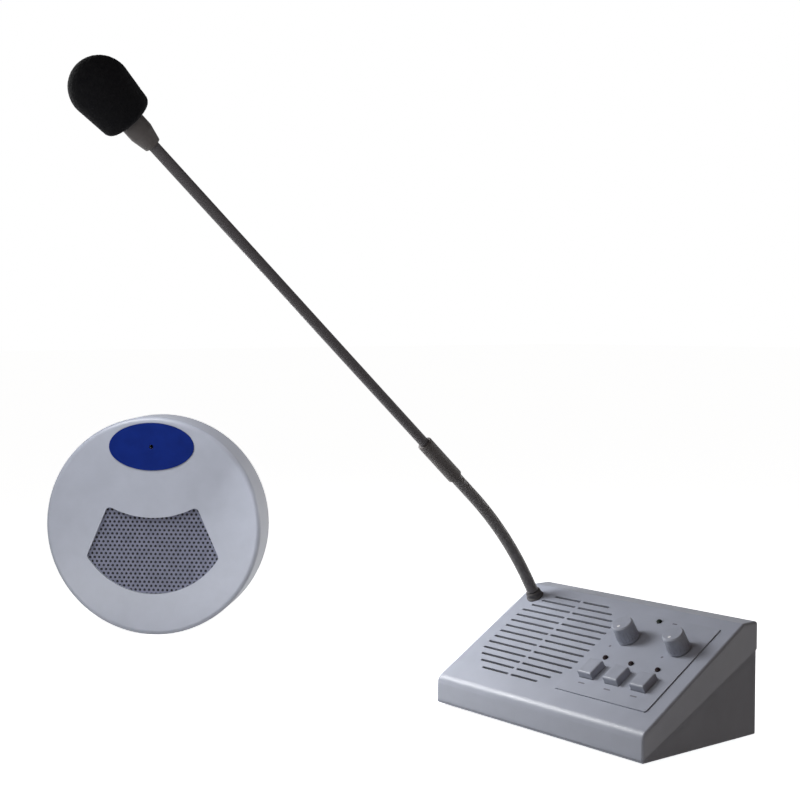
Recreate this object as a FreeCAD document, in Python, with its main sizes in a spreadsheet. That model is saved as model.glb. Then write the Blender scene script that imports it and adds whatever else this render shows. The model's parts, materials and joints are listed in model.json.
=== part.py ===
import FreeCAD, Part
import math
import os
import Sketcher
from FreeCAD import Placement, Rotation, Vector

# Teller window intercom: a sloping desk console with a gooseneck microphone, and a round window unit.
# Millimetres. The origin is the centre of the console's footprint on the desk: +X is the teller's right,
# +Y the console's rear and +Z up.

doc = FreeCAD.newDocument("TellerIntercom")
sheet = doc.addObject("Spreadsheet::Sheet", "Sizes")
nodes = []
rows = []


# ---------------------------------------------------------------- sizes that keep their formula


class Term:
    """A size that holds its value and the sheet formula which gives it."""

    def __init__(self, value, text):
        self.value = value
        self.text = text

    def __add__(self, other):
        return joined(self, "+", other, self.value + term(other).value)

    def __sub__(self, other):
        return joined(self, "-", other, self.value - term(other).value)

    def __mul__(self, other):
        return joined(self, "*", other, self.value * term(other).value)

    def __truediv__(self, other):
        return joined(self, "/", other, self.value / term(other).value)

    def __radd__(self, other):
        return term(other) + self

    def __rsub__(self, other):
        return term(other) - self

    def __rmul__(self, other):
        return term(other) * self

    def __neg__(self):
        return Term(-self.value, f"(-1 * {self.text})")


def term(number):
    """A plain number as a Term; a Term stays as it is."""
    return number if isinstance(number, Term) else Term(float(number), f"({float(number)})")


def joined(left, sign, right, value):
    return Term(value, f"({term(left).text} {sign} {term(right).text})")


def sine(angle):
    return Term(math.sin(math.radians(angle.value)), f"sin({angle.text})")


def cosine(angle):
    return Term(math.cos(math.radians(angle.value)), f"cos({angle.text})")


def tangent(angle):
    return Term(math.tan(math.radians(angle.value)), f"tan({angle.text})")


def square_root(amount):
    return Term(math.sqrt(amount.value), f"sqrt({amount.text})")


def smaller(first, second):
    return Term(min(first.value, second.value), f"min({first.text}; {second.text})")


def size(name, value, meaning):
    """Put one driving size in the sheet, under its own name."""
    rows.append(name)
    sheet.set(f"A{len(rows)}", name)
    sheet.set(f"B{len(rows)}", str(value))
    sheet.set(f"C{len(rows)}", meaning)
    sheet.setAlias(f"B{len(rows)}", name)
    return Term(float(value), f"Sizes.{name}")


# Console housing
speaker_side = size("speaker_side", 45.5, "console's left side to the speaker's centre")
plate_offset = size("plate_offset", 37.0, "speaker's centre to the control plate's left edge")
plate_width = size("plate_width", 63.0, "control plate, side to side")
plate_side = size("plate_side", 9.5, "control plate's right edge to the console's side")
speaker_along = size("speaker_along", 48.0, "sloping top's front edge to the speaker's centre")
speaker_behind = size("speaker_behind", 40.3, "speaker's centre to the ridge")
slope_angle = size("slope_angle", 30.6, "sloping top, degrees from level")
ridge_depth = size("ridge_depth", 11.7, "level strip behind the sloping top")
front_height = size("front_height", 14.3, "front face above the base's underside")
foot_stand = size("foot_stand", 1.5, "rubber feet below the base")
cover_wall = size("cover_wall", 2.2, "top cover's wall")
skirt_depth = size("skirt_depth", 14.0, "cover's skirt at the rear edge")
base_strip = size("base_strip", 1.6, "strip of base below the front face")
base_inset = size("base_inset", 0.4, "base side inside the cover's side")
seam_gap = size("seam_gap", 0.3, "shadow line between cover and base")
lip_wall = size("lip_wall", 1.2, "base's lip inside the skirt")
lip_rise = size("lip_rise", 3.0, "lip above the seam")
fit_gap = size("fit_gap", 0.15, "clearance of a part that slips in")
floor_wall = size("floor_wall", 2.4, "base's floor")
front_round = size("front_round", 3.2, "rounded front top edge")
corner_round = size("corner_round", 1.4, "rounded outer corners")

# Slotted loudspeaker grille in the sloping top
slot_pitch = size("slot_pitch", 5.0, "slot to slot, up the slope")
slot_width = size("slot_width", 1.5, "slot's width")
slot_depth = size("slot_depth", 1.15, "slot's depth from the outside")
slot_break = size("slot_break", 0.1, "how far the speaker's seat cuts into the slots")
slot_reach_front = size("slot_reach_front", 32.3, "speaker's centre to the first slot")
slot_field = size("slot_field", 65.0, "first slot to last slot")
slot_reach = size("slot_reach", 35.3, "speaker's centre to the longest slots' ends")
slot_circle = size("slot_circle", 39.0, "circle on which the shorter slots end")
rib_offset = size("rib_offset", 0.2, "middle rib right of the speaker's centre")
rib_width = size("rib_width", 2.0, "middle rib's width")

# Loudspeaker, the same in both units
speaker_radius = size("speaker_radius", 38.5, "speaker's flange radius")
speaker_flange = size("speaker_flange", 1.2, "flange thickness")
speaker_depth = size("speaker_depth", 11.0, "basket depth behind the flange's front")
magnet_radius = size("magnet_radius", 17.0, "magnet's radius")
magnet_height = size("magnet_height", 6.5, "magnet's height")
coil_radius = size("coil_radius", 9.0, "voice coil and dust cap")
gasket = size("gasket", 0.4, "cone's edge ring")
cloth = size("cloth", 0.4, "dust cloth behind the slots")
recess_margin = size("recess_margin", 1.0, "seat around the flange")
basket_skin = size("basket_skin", 0.9, "basket's sheet")
basket_rim = size("basket_rim", 5.0, "flat rim of the basket's flange")
coil_clear = size("coil_clear", 0.6, "hole in the basket round the coil")
cone_margin = size("cone_margin", 1.5, "cone's edge ring inside the flange")
cone_rim = size("cone_rim", 4.9, "cone's edge ring, its width")
cone_paper = size("cone_paper", 0.5, "cone's paper")
cap_rise = size("cap_rise", 4.6, "dust cap above the basket's floor")
cap_dome = size("cap_dome", 2.2, "dust cap's dome")
magnet_chamfer = size("magnet_chamfer", 0.8, "magnet's chamfered foot")
clamp_reach = size("clamp_reach", 42.0, "speaker screws from the speaker's centre")
clamp_lap = size("clamp_lap", 1.6, "clamp's hold over the flange")
clamp_tail = size("clamp_tail", 2.6, "clamp past its screw")
clamp_post = size("clamp_post", 2.3, "clamp post's radius")
clamp_width = size("clamp_width", 6.0, "speaker clamp's width")
clamp_thickness = size("clamp_thickness", 1.0, "speaker clamp's thickness")

# Control plate, buttons, lamps and knobs
plate_front = size("plate_front", 14.3, "control plate's front edge up the slope")
plate_rear = size("plate_rear", 7.8, "control plate's rear edge to the ridge")
plate_proud = size("plate_proud", 0.6, "control plate above the cover")
plate_sunk = size("plate_sunk", 0.6, "control plate's seat in the cover")
plate_round = size("plate_round", 1.5, "control plate's corners")
button_inset = size("button_inset", 12.6, "plate's left edge to the left button")
button_pitch = size("button_pitch", 18.2, "button to button")
button_behind = size("button_behind", 17.2, "plate's front edge to the button centres")
button_width = size("button_width", 9.6, "button, side to side")
button_length = size("button_length", 11.0, "button, front to back")
button_height = size("button_height", 4.0, "button above the plate")
button_travel = size("button_travel", 2.0, "button's press")
button_gap = size("button_gap", 0.35, "clearance round a button")
button_collar = size("button_collar", 0.8, "collar that keeps a button in")
collar_thick = size("collar_thick", 1.0, "button collar's thickness")
button_round = size("button_round", 0.9, "button's rounded top edge")
stem_radius = size("stem_radius", 1.9, "button's stem")
stem_spare = size("stem_spare", 0.6, "room below a pressed stem")
lamp_behind = size("lamp_behind", 11.5, "button centres to the status lamps")
lamp_radius = size("lamp_radius", 1.45, "lamp's radius")
lamp_proud = size("lamp_proud", 0.5, "lamp's side above the plate")
lamp_dome = size("lamp_dome", 0.6, "lamp's dome")
lamp_chamfer = size("lamp_chamfer", 0.5, "lamp's chamfered dome")
lamp_rim = size("lamp_rim", 0.4, "lamp's rim round its foot")
lamp_sunk = size("lamp_sunk", 3.0, "lamp's foot below the cover")
lamp_leg = size("lamp_leg", 0.3, "lamp leg's radius")
lamp_legs = size("lamp_legs", 1.8, "leg to leg")
power_inset = size("power_inset", 24.1, "plate's left edge to the power lamp")
power_ahead = size("power_ahead", 3.5, "power lamp before the plate's rear edge")
knob_inset = size("knob_inset", 15.5, "plate's left edge to the left knob")
knob_spacing = size("knob_spacing", 35.2, "knob to knob")
knob_ahead = size("knob_ahead", 20.3, "knobs before the plate's rear edge")
knob_radius = size("knob_radius", 6.2, "knob's radius")
knob_height = size("knob_height", 10.3, "knob's own height")
knob_gap = size("knob_gap", 0.6, "knob above the plate")
knob_taper = size("knob_taper", 0.3, "knob's top narrower than its foot")
knob_edge = size("knob_edge", 0.7, "knob's bevelled top edge")
knob_roof = size("knob_roof", 2.0, "knob's top above its shaft")
flute_reach = size("flute_reach", 0.2, "flute's centre outside the knob's foot")
dot_reach = size("dot_reach", 3.0, "knob's dot from its centre")
dot_radius = size("dot_radius", 0.9, "knob's dot")
dot_depth = size("dot_depth", 0.3, "knob's dot, how deep")
flute_radius = size("flute_radius", 0.55, "finger flutes round a knob")
flute_count = size("flute_count", 20, "finger flutes round a knob, how many")
flute_foot = size("flute_foot", 1.2, "flutes above the knob's foot")
shaft_radius = size("shaft_radius", 3.0, "knob shaft's radius")
shaft_clear = size("shaft_clear", 0.05, "running clearance round the shaft")
pot_width = size("pot_width", 9.8, "volume control, side to side")
pot_length = size("pot_length", 11.0, "volume control, front to back")
pot_height = size("pot_height", 6.6, "volume control's case")
pot_neck = size("pot_neck", 3.0, "volume control's bush above its case")
pot_bush = size("pot_bush", 0.9, "volume control's bush, its wall")
pot_floor = size("pot_floor", 1.5, "volume control's floor")
shaft_foot = size("shaft_foot", 2.0, "shaft's foot above the board")

# Circuit boards and what they carry
board_depth = size("board_depth", 14.0, "main board's face below the panel")
board_thick = size("board_thick", 1.6, "circuit board's thickness")
board_inset_left = size("board_inset_left", 4.5, "board inside the plate's left edge")
board_inset_right = size("board_inset_right", 2.5, "board inside the plate's right edge")
board_inset_front = size("board_inset_front", 3.7, "board inside the plate's front edge")
board_inset_rear = size("board_inset_rear", 0.5, "board inside the plate's rear edge")
post_radius = size("post_radius", 2.6, "board post's radius")
post_inset = size("post_inset", 3.1, "board posts from the board's edges")
switch_height = size("switch_height", 6.5, "push switch's case")
switch_width = size("switch_width", 8.6, "push switch's case, side to side")
jack_side = size("jack_side", 57.5, "power inlet from the console's right side")
jack_spacing = size("jack_spacing", 18.0, "socket to socket")
jack_width = size("jack_width", 9.6, "socket body's width")
jack_depth = size("jack_depth", 13.0, "socket body, front to back")
jack_height = size("jack_height", 10.0, "socket body's height")
jack_board_rise = size("jack_board_rise", 5.0, "socket board above the base's floor")
jack_board_side = size("jack_board_side", 7.7, "socket board past the outer sockets' centres")
jack_board_front = size("jack_board_front", 10.0, "socket board before the sockets")
jack_post = size("jack_post", 3.0, "socket board post's radius")
jack_post_front = size("jack_post_front", 4.0, "socket board posts before the sockets")
jack_post_left = size("jack_post_left", 5.0, "left post left of the power inlet")
jack_post_right = size("jack_post_right", 4.0, "right post right of the last socket")
can_radius = size("can_radius", 3.8, "capacitor's radius")
can_height = size("can_height", 11.0, "capacitor's height")
can_chamfer = size("can_chamfer", 0.5, "chamfered edge of a can")
can_front = size("can_front", 5.0, "capacitors before the sockets")
can_inlet = size("can_inlet", 5.0, "first capacitor right of the power inlet")
can_socket = size("can_socket", 3.0, "second capacitor right of the middle socket")
sink_inset = size("sink_inset", 9.0, "heat sink right of the middle socket")
sink_front = size("sink_front", 9.0, "heat sink's back before the sockets")
sink_width = size("sink_width", 8.8, "heat sink, side to side")
sink_depth = size("sink_depth", 8.0, "heat sink, front to back")
sink_height = size("sink_height", 12.0, "heat sink's height")
fin_width = size("fin_width", 1.4, "heat sink fin")
fin_pitch = size("fin_pitch", 3.7, "fin to fin")
sink_web = size("sink_web", 1.6, "heat sink's back")
inlet_nose = size("inlet_nose", 4.2, "power inlet's nose radius")
inlet_bore = size("inlet_bore", 3.15, "power inlet's bore radius")
socket_nose = size("socket_nose", 3.0, "line socket's nose radius")
socket_bore = size("socket_bore", 1.8, "line socket's bore radius")
bore_depth = size("bore_depth", 10.0, "socket bores' depth")

# Feet and screws
foot_radius = size("foot_radius", 5.0, "rubber foot's radius")
foot_sunk = size("foot_sunk", 0.8, "foot's seat in the base")
foot_side = size("foot_side", 23.5, "feet from the console's sides")
foot_along = size("foot_along", 33.0, "feet from the middle, front and rear")
screw_side = size("screw_side", 8.5, "case screws from the console's sides")
screw_front = size("screw_front", 11.0, "front case screws behind the front face")
screw_rear = size("screw_rear", 8.2, "rear case screws before the rear face")
screw_shank = size("screw_shank", 1.4, "screw's shank radius")
screw_head = size("screw_head", 2.7, "screw's head radius")
screw_head_height = size("screw_head_height", 1.2, "screw's head")
screw_deep = size("screw_deep", 9.0, "case screw in its boss")
screw_short = size("screw_short", 6.0, "board screw's length")
screw_loose = size("screw_loose", 0.2, "clearance round a shank in a board")
screw_sunk = size("screw_sunk", 0.2, "screw heads inside the base")
small_screw = size("small_screw", 1.0, "clamp screw's shank radius")
small_head = size("small_head", 2.0, "clamp screw's head radius")
small_head_height = size("small_head_height", 1.1, "clamp screw's head")
small_length = size("small_length", 2.4, "clamp screw's shank")
boss_radius = size("boss_radius", 3.2, "case boss's radius")
root = size("root", 0.2, "how far a post runs into the wall it grows from")

# Gooseneck and microphone
neck_side = size("neck_side", 10.3, "neck's foot from the console's left side")
neck_behind = size("neck_behind", 29.7, "speaker's centre to the neck's foot, up the slope")
neck_radius = size("neck_radius", 3.4, "flexible neck's radius")
neck_links = size("neck_links", 8, "links that stand for the flexible neck")
bent_links = size("bent_links", 6, "links over which the neck bends forward")
link_length = size("link_length", 11.4, "pivot to pivot along the neck")
link_gap = size("link_gap", 0.3, "clearance in a link's cup")
cup_opening = size("cup_opening", 52, "link's cup, its axis to its rim, degrees")
neck_lean = size("neck_lean", 48.15, "straight part's lean from upright, degrees")
pivot_rise = size("pivot_rise", 6.0, "first pivot above the panel")
bush_radius = size("bush_radius", 4.4, "neck bush's collar radius")
bush_flange = size("bush_flange", 5.0, "neck bush's flange radius")
bush_flange_height = size("bush_flange_height", 1.2, "neck bush's flange")
bush_flange_edge = size("bush_flange_edge", 0.7, "neck bush's flange at its edge")
bush_bevel = size("bush_bevel", 0.4, "neck bush's bevelled rim")
bush_stem = size("bush_stem", 4.0, "neck bush's threaded stem radius")
bush_stem_length = size("bush_stem_length", 8.0, "threaded stem below the panel")
nut_radius = size("nut_radius", 6.4, "neck nut across its corners, half")
nut_height = size("nut_height", 2.6, "neck nut's height")
ferrule_radius = size("ferrule_radius", 4.3, "ferrule's radius")
ferrule_length = size("ferrule_length", 30.5, "ferrule's length")
ferrule_chamfer = size("ferrule_chamfer", 0.5, "ferrule's chamfered ends")
ferrule_shoulder = size("ferrule_shoulder", 0.6, "ferrule's foot above its ball's centre")
tube_radius = size("tube_radius", 2.8, "upper tube's radius")
tube_wall = size("tube_wall", 0.7, "upper tube's wall")
tube_length = size("tube_length", 224.5, "upper tube between ferrule and collar")
tube_seat = size("tube_seat", 6.0, "upper tube inside the ferrule and collar")
collar_foot = size("collar_foot", 4.3, "microphone collar's narrow end radius")
collar_top = size("collar_top", 6.0, "microphone collar's wide end radius")
collar_length = size("collar_length", 8.0, "microphone collar's flare")
holder_length = size("holder_length", 28.0, "microphone barrel, part of it in the foam")
holder_wall = size("holder_wall", 1.2, "capsule holder's wall")
holder_bevel = size("holder_bevel", 0.6, "capsule holder's bevelled end")
capsule_height = size("capsule_height", 6.5, "microphone capsule's height")
foam_radius = size("foam_radius", 14.9, "foam windscreen's radius")
foam_length = size("foam_length", 35.0, "foam windscreen's length")
foam_mouth = size("foam_mouth", 9.5, "flat end of the foam, radius")
foam_waist = size("foam_waist", 13.2, "foam's radius near its flat end")
barrel_length = size("barrel_length", 8.0, "straight barrel between flare and foam")

# Round window unit
window_radius = size("window_radius", 75.5, "window unit's radius")
window_thick = size("window_thick", 30.5, "window unit's thickness")
window_wall = size("window_wall", 2.2, "window unit's wall")
window_round = size("window_round", 3.2, "window unit's rounded front edge")
window_across = size("window_across", -365.0, "window unit's place, across")
window_along = size("window_along", -53.7, "window unit's place, front to back")
window_turn = size("window_turn", 44.85, "window unit's turn, degrees")
fan_foot_radius = size("fan_foot_radius", 55.0, "grille opening's lower arc")
fan_foot_rise = size("fan_foot_rise", 83.5, "unit's lowest point to the lower arc's centre")
fan_head_radius = size("fan_head_radius", 64.8, "grille opening's upper arc")
fan_head_rise = size("fan_head_rise", 146.2, "unit's lowest point to the upper arc's centre")
fan_foot_half = size("fan_foot_half", 46.6, "grille opening's half width below")
fan_head_half = size("fan_head_half", 31.4, "grille opening's half width above")
fan_round = size("fan_round", 3.2, "grille opening's rounded corners")
fan_margin = size("fan_margin", 2.5, "perforated sheet past the opening")
fan_sheet = size("fan_sheet", 0.8, "perforated sheet's thickness")
window_speaker_rise = size("window_speaker_rise", 58.5, "unit's lowest point to the speaker's centre")
badge_drop = size("badge_drop", 20.5, "unit's highest point to the badge's centre")
badge_half_width = size("badge_half_width", 29.8, "badge's half width")
badge_half_height = size("badge_half_height", 16.3, "badge's half height")
badge_thick = size("badge_thick", 1.0, "badge's thickness")
badge_sunk = size("badge_sunk", 0.5, "badge's seat in the shell")
voice_hole = size("voice_hole", 1.5, "microphone hole's radius")
boot_radius = size("boot_radius", 6.6, "microphone boot's radius")
boot_height = size("boot_height", 7.5, "microphone boot's height")
boot_wall = size("boot_wall", 1.8, "microphone boot's wall")
boot_roof = size("boot_roof", 1.0, "microphone boot's end")
back_thick = size("back_thick", 2.5, "back plate's thickness")
window_post = size("window_post", 3.0, "window unit's screw posts")
window_post_inset = size("window_post_inset", 11.0, "its screws inside its edge")
wall_hole_inset = size("wall_hole_inset", 29.5, "wall screw holes inside the edge")
wall_hole = size("wall_hole", 2.1, "wall screw hole's radius")
pad_inset = size("pad_inset", 15.0, "mounting pad inside the edge")
pad_width = size("pad_width", 6.5, "mounting pad's width")
pad_thick = size("pad_thick", 1.2, "mounting pad's thickness")
socket_rise = size("socket_rise", 13.7, "window unit's socket above its back")
socket_body_width = size("socket_body_width", 8.0, "window unit's socket, its body")
socket_body_height = size("socket_body_height", 9.0, "window unit's socket, in the rim's depth")
socket_clear = size("socket_clear", 1.0, "socket body inside the wall")
socket_sunk = size("socket_sunk", 0.2, "socket's mouth inside the edge")
doc.recompute()

# Sizes worked out from those above
console_width = speaker_side + plate_offset + plate_width + plate_side
half_width = console_width / 2
panel_length = speaker_along + speaker_behind
plate_back = panel_length - plate_rear
speaker_across = speaker_side - half_width
plate_left = speaker_across + plate_offset
plate_right = plate_left + plate_width
slot_first = speaker_along - slot_reach_front
rib_place = speaker_across + rib_offset
button_first = plate_left + button_inset
button_row = plate_front + button_behind
lamp_row = button_row + lamp_behind
power_across = plate_left + power_inset
power_along = plate_back - power_ahead
knob_first = plate_left + knob_inset
knob_row = plate_back - knob_ahead
board_left = plate_left + board_inset_left
board_right = plate_right - board_inset_right
board_front = plate_front + board_inset_front
board_back = plate_back - board_inset_rear
jack_first = half_width - jack_side
foot_across = half_width - foot_side
screw_across = half_width - screw_side
neck_across = neck_side - half_width
neck_along = speaker_along + neck_behind
console_depth = panel_length * cosine(slope_angle) + ridge_depth
front_y = -console_depth / 2
rear_y = console_depth / 2
panel_z = foot_stand + front_height
rear_z = panel_z + panel_length * sine(slope_angle)
seam_front = foot_stand + base_strip
seam_rear = rear_z - skirt_depth
seam_rise = (seam_rear - seam_front) / console_depth
floor_top = foot_stand + floor_wall
lip_side = cover_wall + fit_gap
inner_side = lip_side + lip_wall
screw_hole = screw_shank + fit_gap / 2
fan_foot_centre = fan_foot_rise - window_radius
fan_head_centre = fan_head_rise - window_radius
window_speaker_drop = window_radius - window_speaker_rise
badge_height = window_radius - badge_drop
window_post_reach = window_radius - window_post_inset
wall_hole_circle = window_radius - wall_hole_inset
pad_outer = window_radius - pad_inset
pad_inner = pad_outer - pad_width


# ---------------------------------------------------------------- helpers


def bind(thing, path, amount):
    """Tie one property of an object to the sheet."""
    thing.setExpression(path, term(amount).text)


def bind_place(thing, path, spot, tilt):
    """Tie a placement: where it is, and its turn about X."""
    for axis, amount in zip("xyz", spot):
        bind(thing, f"{path}.Base.{axis}", amount)
    if tilt is not None:
        bind(thing, f"{path}.Rotation.Angle", tilt)


def panel_point(across, along, above):
    """A point given on the sloping top: across, up the slope and above it."""
    y = front_y + along * cosine(slope_angle) - above * sine(slope_angle)
    z = panel_z + along * sine(slope_angle) + above * cosine(slope_angle)
    return term(across), y, z


def new_body(label):
    body = doc.addObject("PartDesign::Body", label)
    body.Label = label
    nodes.append(body)
    return body


def grouped(label, members):
    """Put alike pieces from several bodies in one node."""
    group = doc.addObject("Part::Compound", label)
    group.Label = label
    group.Links = members
    for member in members:
        nodes.remove(member)
        member.Label = f"{label}_part"
    nodes.append(group)


def stand(thing, spot, tilt=None):
    """Give a sub-part its place in the model, tilted back about X by an angle."""
    turn = tilt.value if tilt is not None else 0.0
    base = Vector(*(term(amount).value for amount in spot))
    thing.Placement = Placement(base, Rotation(Vector(1, 0, 0), turn))
    bind_place(thing, "Placement", spot, tilt)


def stand_on_panel(thing, across=0, along=0, above=0):
    stand(thing, panel_point(across, term(along), term(above)), slope_angle)


def stand_in_window(thing, across=0, up=0, out=0):
    """Place a sub-part of the window unit: its Z looks out of the face and its Y is up."""
    x = window_across + across * cosine(window_turn) + out * sine(window_turn)
    y = window_along + across * sine(window_turn) - out * cosine(window_turn)
    z = window_radius + up
    base = Vector(x.value, y.value, z.value)
    thing.Placement = Placement(base, Rotation(window_turn.value, 0, 90))
    bind_place(thing, "Placement", (x, y, z), None)
    bind(thing, "Placement.Rotation.Yaw", window_turn)
    bind(thing, "Placement.Rotation.Roll", 90)


def new_sketch(body, plane="XY_Plane", level=0, on_panel=False):
    """A sketch on the body's own origin plane, moved along its normal or laid on the sloping top."""
    sketch = body.newObject("Sketcher::SketchObject", f"{body.Label}_sketch")
    support = [part for part in body.Origin.OriginFeatures if part.Role == plane][0]
    sketch.AttachmentSupport = [(support, "")]
    sketch.MapMode = "FlatFace"
    if on_panel:
        spot = panel_point(0, term(0), term(level))
        sketch.AttachmentOffset = Placement(Vector(), Rotation(Vector(1, 0, 0), slope_angle.value))
        bind_place(sketch, "AttachmentOffset", spot, slope_angle)
    else:
        bind(sketch, "AttachmentOffset.Base.z", level)
    return sketch


def dimension(sketch, kind, where, amount):
    """A named dimension in a sketch, tied to the sheet."""
    index = sketch.addConstraint(Sketcher.Constraint(kind, *where, term(amount).value))
    sketch.renameConstraint(index, f"{kind}{index}")
    bind(sketch, f"Constraints.{kind}{index}", amount)


def pin_point(sketch, edge, end, x, y):
    dimension(sketch, "DistanceX", (-1, 1, edge, end), x)
    dimension(sketch, "DistanceY", (-1, 1, edge, end), y)


def arc_between(start, end, centre, anticlockwise):
    begin, finish = (start, end) if anticlockwise else (end, start)
    first = math.atan2(begin.y - centre.y, begin.x - centre.x)
    last = math.atan2(finish.y - centre.y, finish.x - centre.x)
    if last <= first:
        last += 2 * math.pi
    circle = Part.Circle(centre, Vector(0, 0, 1), (start - centre).Length)
    return Part.ArcOfCircle(circle, first, last)


def outline(sketch, corners):
    """A closed outline. A corner is (x, y), or (x, y, centre x, centre y, anticlockwise) after an arc."""
    points = [Vector(term(c[0]).value, term(c[1]).value, 0) for c in corners]
    ends = []
    first = sketch.GeometryCount
    for index, corner in enumerate(corners):
        start, end = points[index - 1], points[index]
        if len(corner) == 2:
            sketch.addGeometry(Part.LineSegment(start, end))
            ends.append((1, 2))
        else:
            centre = Vector(term(corner[2]).value, term(corner[3]).value, 0)
            sketch.addGeometry(arc_between(start, end, centre, corner[4]))
            ends.append((1, 2) if corner[4] else (2, 1))
    for index, corner in enumerate(corners):
        following = (index + 1) % len(corners)
        ahead = (first + following, ends[following][0])
        sketch.addConstraint(Sketcher.Constraint("Coincident", first + index, ends[index][1], *ahead))
        pin_point(sketch, first + index, ends[index][1], corner[0], corner[1])
        if len(corner) > 2:
            level = abs(points[index].y - points[index - 1].y) < 1e-6
            kind, amount = ("DistanceY", corner[3]) if level else ("DistanceX", corner[2])
            dimension(sketch, kind, (-1, 1, first + index, 3), amount)


def rectangle(sketch, left, right, front, back):
    outline(sketch, [(left, front), (right, front), (right, back), (left, back)])


def centred_rectangle(sketch, x, y, width, length):
    rectangle(sketch, x - width / 2, x + width / 2, y - length / 2, y + length / 2)


def circles(sketch, spots, radius):
    for x, y in spots:
        centre = Vector(term(x).value, term(y).value, 0)
        edge = sketch.addGeometry(Part.Circle(centre, Vector(0, 0, 1), term(radius).value))
        pin_point(sketch, edge, 3, x, y)
        dimension(sketch, "Radius", (edge,), radius)


def round_slot(sketch, left, right, middle, width):
    """A slot along X with half-round ends."""
    low, high = middle - width / 2, middle + width / 2
    first, last = left + width / 2, right - width / 2
    outline(
        sketch,
        [(first, low, first, middle, True), (last, low), (last, high, last, middle, True), (first, high)],
    )


def feature(body, kind, sketch, length=None, reverse=False, middle=False):
    made = body.newObject(f"PartDesign::{kind}", f"{body.Label}_{kind.lower()}")
    made.Profile = sketch
    made.Reversed = reverse
    if middle:
        made.Midplane = True
    if length is not None:
        bind(made, "Length", length)
    return made


def pad(body, sketch, length, reverse=False, middle=False):
    return feature(body, "Pad", sketch, length, reverse, middle)


def pocket(body, sketch, length, reverse=False, middle=False):
    return feature(body, "Pocket", sketch, length, reverse, middle)


def turned(body, corners, cut=False):
    """Turn an outline of (radius, height) corners about the body's Z axis."""
    sketch = new_sketch(body, "XZ_Plane")
    outline(sketch, corners)
    made = feature(body, "Groove" if cut else "Revolution", sketch)
    made.ReferenceAxis = (sketch, ["V_Axis"])
    made.Angle = 360
    return made


def posts(body, spots, radius, low, high, on_panel=False):
    sketch = new_sketch(body, level=low, on_panel=on_panel)
    circles(sketch, spots, radius)
    return pad(body, sketch, high - low)


def drill(body, spots, radius, low, high, on_panel=False):
    """Round holes from one level up to another."""
    sketch = new_sketch(body, level=high, on_panel=on_panel)
    circles(sketch, spots, radius)
    return pocket(body, sketch, high - low)


def edges_where(made, test):
    doc.recompute()
    return [f"Edge{number}" for number, edge in enumerate(made.Shape.Edges, 1) if test(edge)]


def soften(body, made, amount, test, kind="Fillet"):
    """Round or chamfer the edges of a feature that pass a test."""
    names = edges_where(made, test)
    softened = body.newObject(f"PartDesign::{kind}", f"{body.Label}_{kind.lower()}")
    softened.Base = (made, names)
    bind(softened, "Radius" if kind == "Fillet" else "Size", amount)
    doc.recompute()
    return softened


def same(first, second):
    return abs(first - second) < 1e-4


def along_x(edge, y, z):
    box = edge.BoundBox
    return box.XLength > 1 and box.YLength < 1e-4 and same(box.YMin, y.value) and same(box.ZMin, z.value)


def at_height(edge, z):
    box = edge.BoundBox
    return box.ZLength < 1e-4 and same(box.ZMin, term(z).value)


def corners_of(x, y, x_middle=0, y_middle=0):
    """Four spots, one in each quarter."""
    signs = [(-1, -1), (1, -1), (1, 1), (-1, 1)]
    return [(x_middle + x * across, y_middle + y * along) for across, along in signs]


def on_circle(radius, degrees, x_middle=0, y_middle=0):
    """Spots at the given angles on a circle."""
    turns = [math.radians(turn) for turn in degrees]
    return [(x_middle + radius * math.cos(t), y_middle + radius * math.sin(t)) for t in turns]


# ---------------------------------------------------------------- places shared by several sub-parts

button_spots = [(button_first + button_pitch * index, button_row) for index in range(3)]
lamp_spots = [(spot[0], lamp_row) for spot in button_spots]
power_spot = (power_across, power_along)
knob_spots = [(knob_first, knob_row), (knob_first + knob_spacing, knob_row)]
board_middle = ((board_left + board_right) / 2, (board_front + board_back) / 2)
post_across = (board_right - board_left) / 2 - post_inset
post_along = (board_back - board_front) / 2 - post_inset
post_spots = corners_of(post_across, post_along, *board_middle)
clamp_turns = (0, 120, 240)
clamp_spots = on_circle(clamp_reach, clamp_turns, speaker_across, speaker_along)
screw_spots = [
    (-screw_across, front_y + screw_front),
    (screw_across, front_y + screw_front),
    (screw_across, rear_y - screw_rear),
    (-screw_across, rear_y - screw_rear),
]
foot_spots = corners_of(foot_across, foot_along)
neck_spot = (neck_across, neck_along)
jack_places = [jack_first + jack_spacing * index for index in range(3)]
jack_board_top = floor_top + jack_board_rise
jack_axis = jack_board_top + jack_height / 2
jack_face = rear_y - inner_side - fit_gap
nose_end = rear_y - base_inset
jack_noses = (inlet_nose, socket_nose, socket_nose)
jack_front = jack_face - jack_depth
jack_post_spots = [
    (jack_places[0] - jack_post_left, jack_front - jack_post_front),
    (jack_places[2] + jack_post_right, jack_front - jack_post_front),
]
recess_depth = cover_wall - slot_depth + slot_break
speaker_level = -cover_wall + recess_depth - cloth - gasket
window_posts = (30, 150, 270)
window_clamps = (90, 225, 315)
speaker_height_in_window = window_thick - window_wall - fan_sheet - gasket


# ---------------------------------------------------------------- console housing


def cover_slots(body):
    """Rows of slots, long in the middle and short where a circle cuts their ends off."""
    for row in range(int(slot_field.value / slot_pitch.value + 1e-6) + 1):
        middle = slot_first + slot_pitch * row
        rise = middle - speaker_along
        half = smaller(slot_reach, square_root(slot_circle * slot_circle - rise * rise))
        sketch = new_sketch(body, on_panel=True)
        round_slot(sketch, speaker_across - half, rib_place - rib_width / 2, middle, slot_width)
        round_slot(sketch, rib_place + rib_width / 2, speaker_across + half, middle, slot_width)
        pocket(body, sketch, slot_depth)


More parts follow.
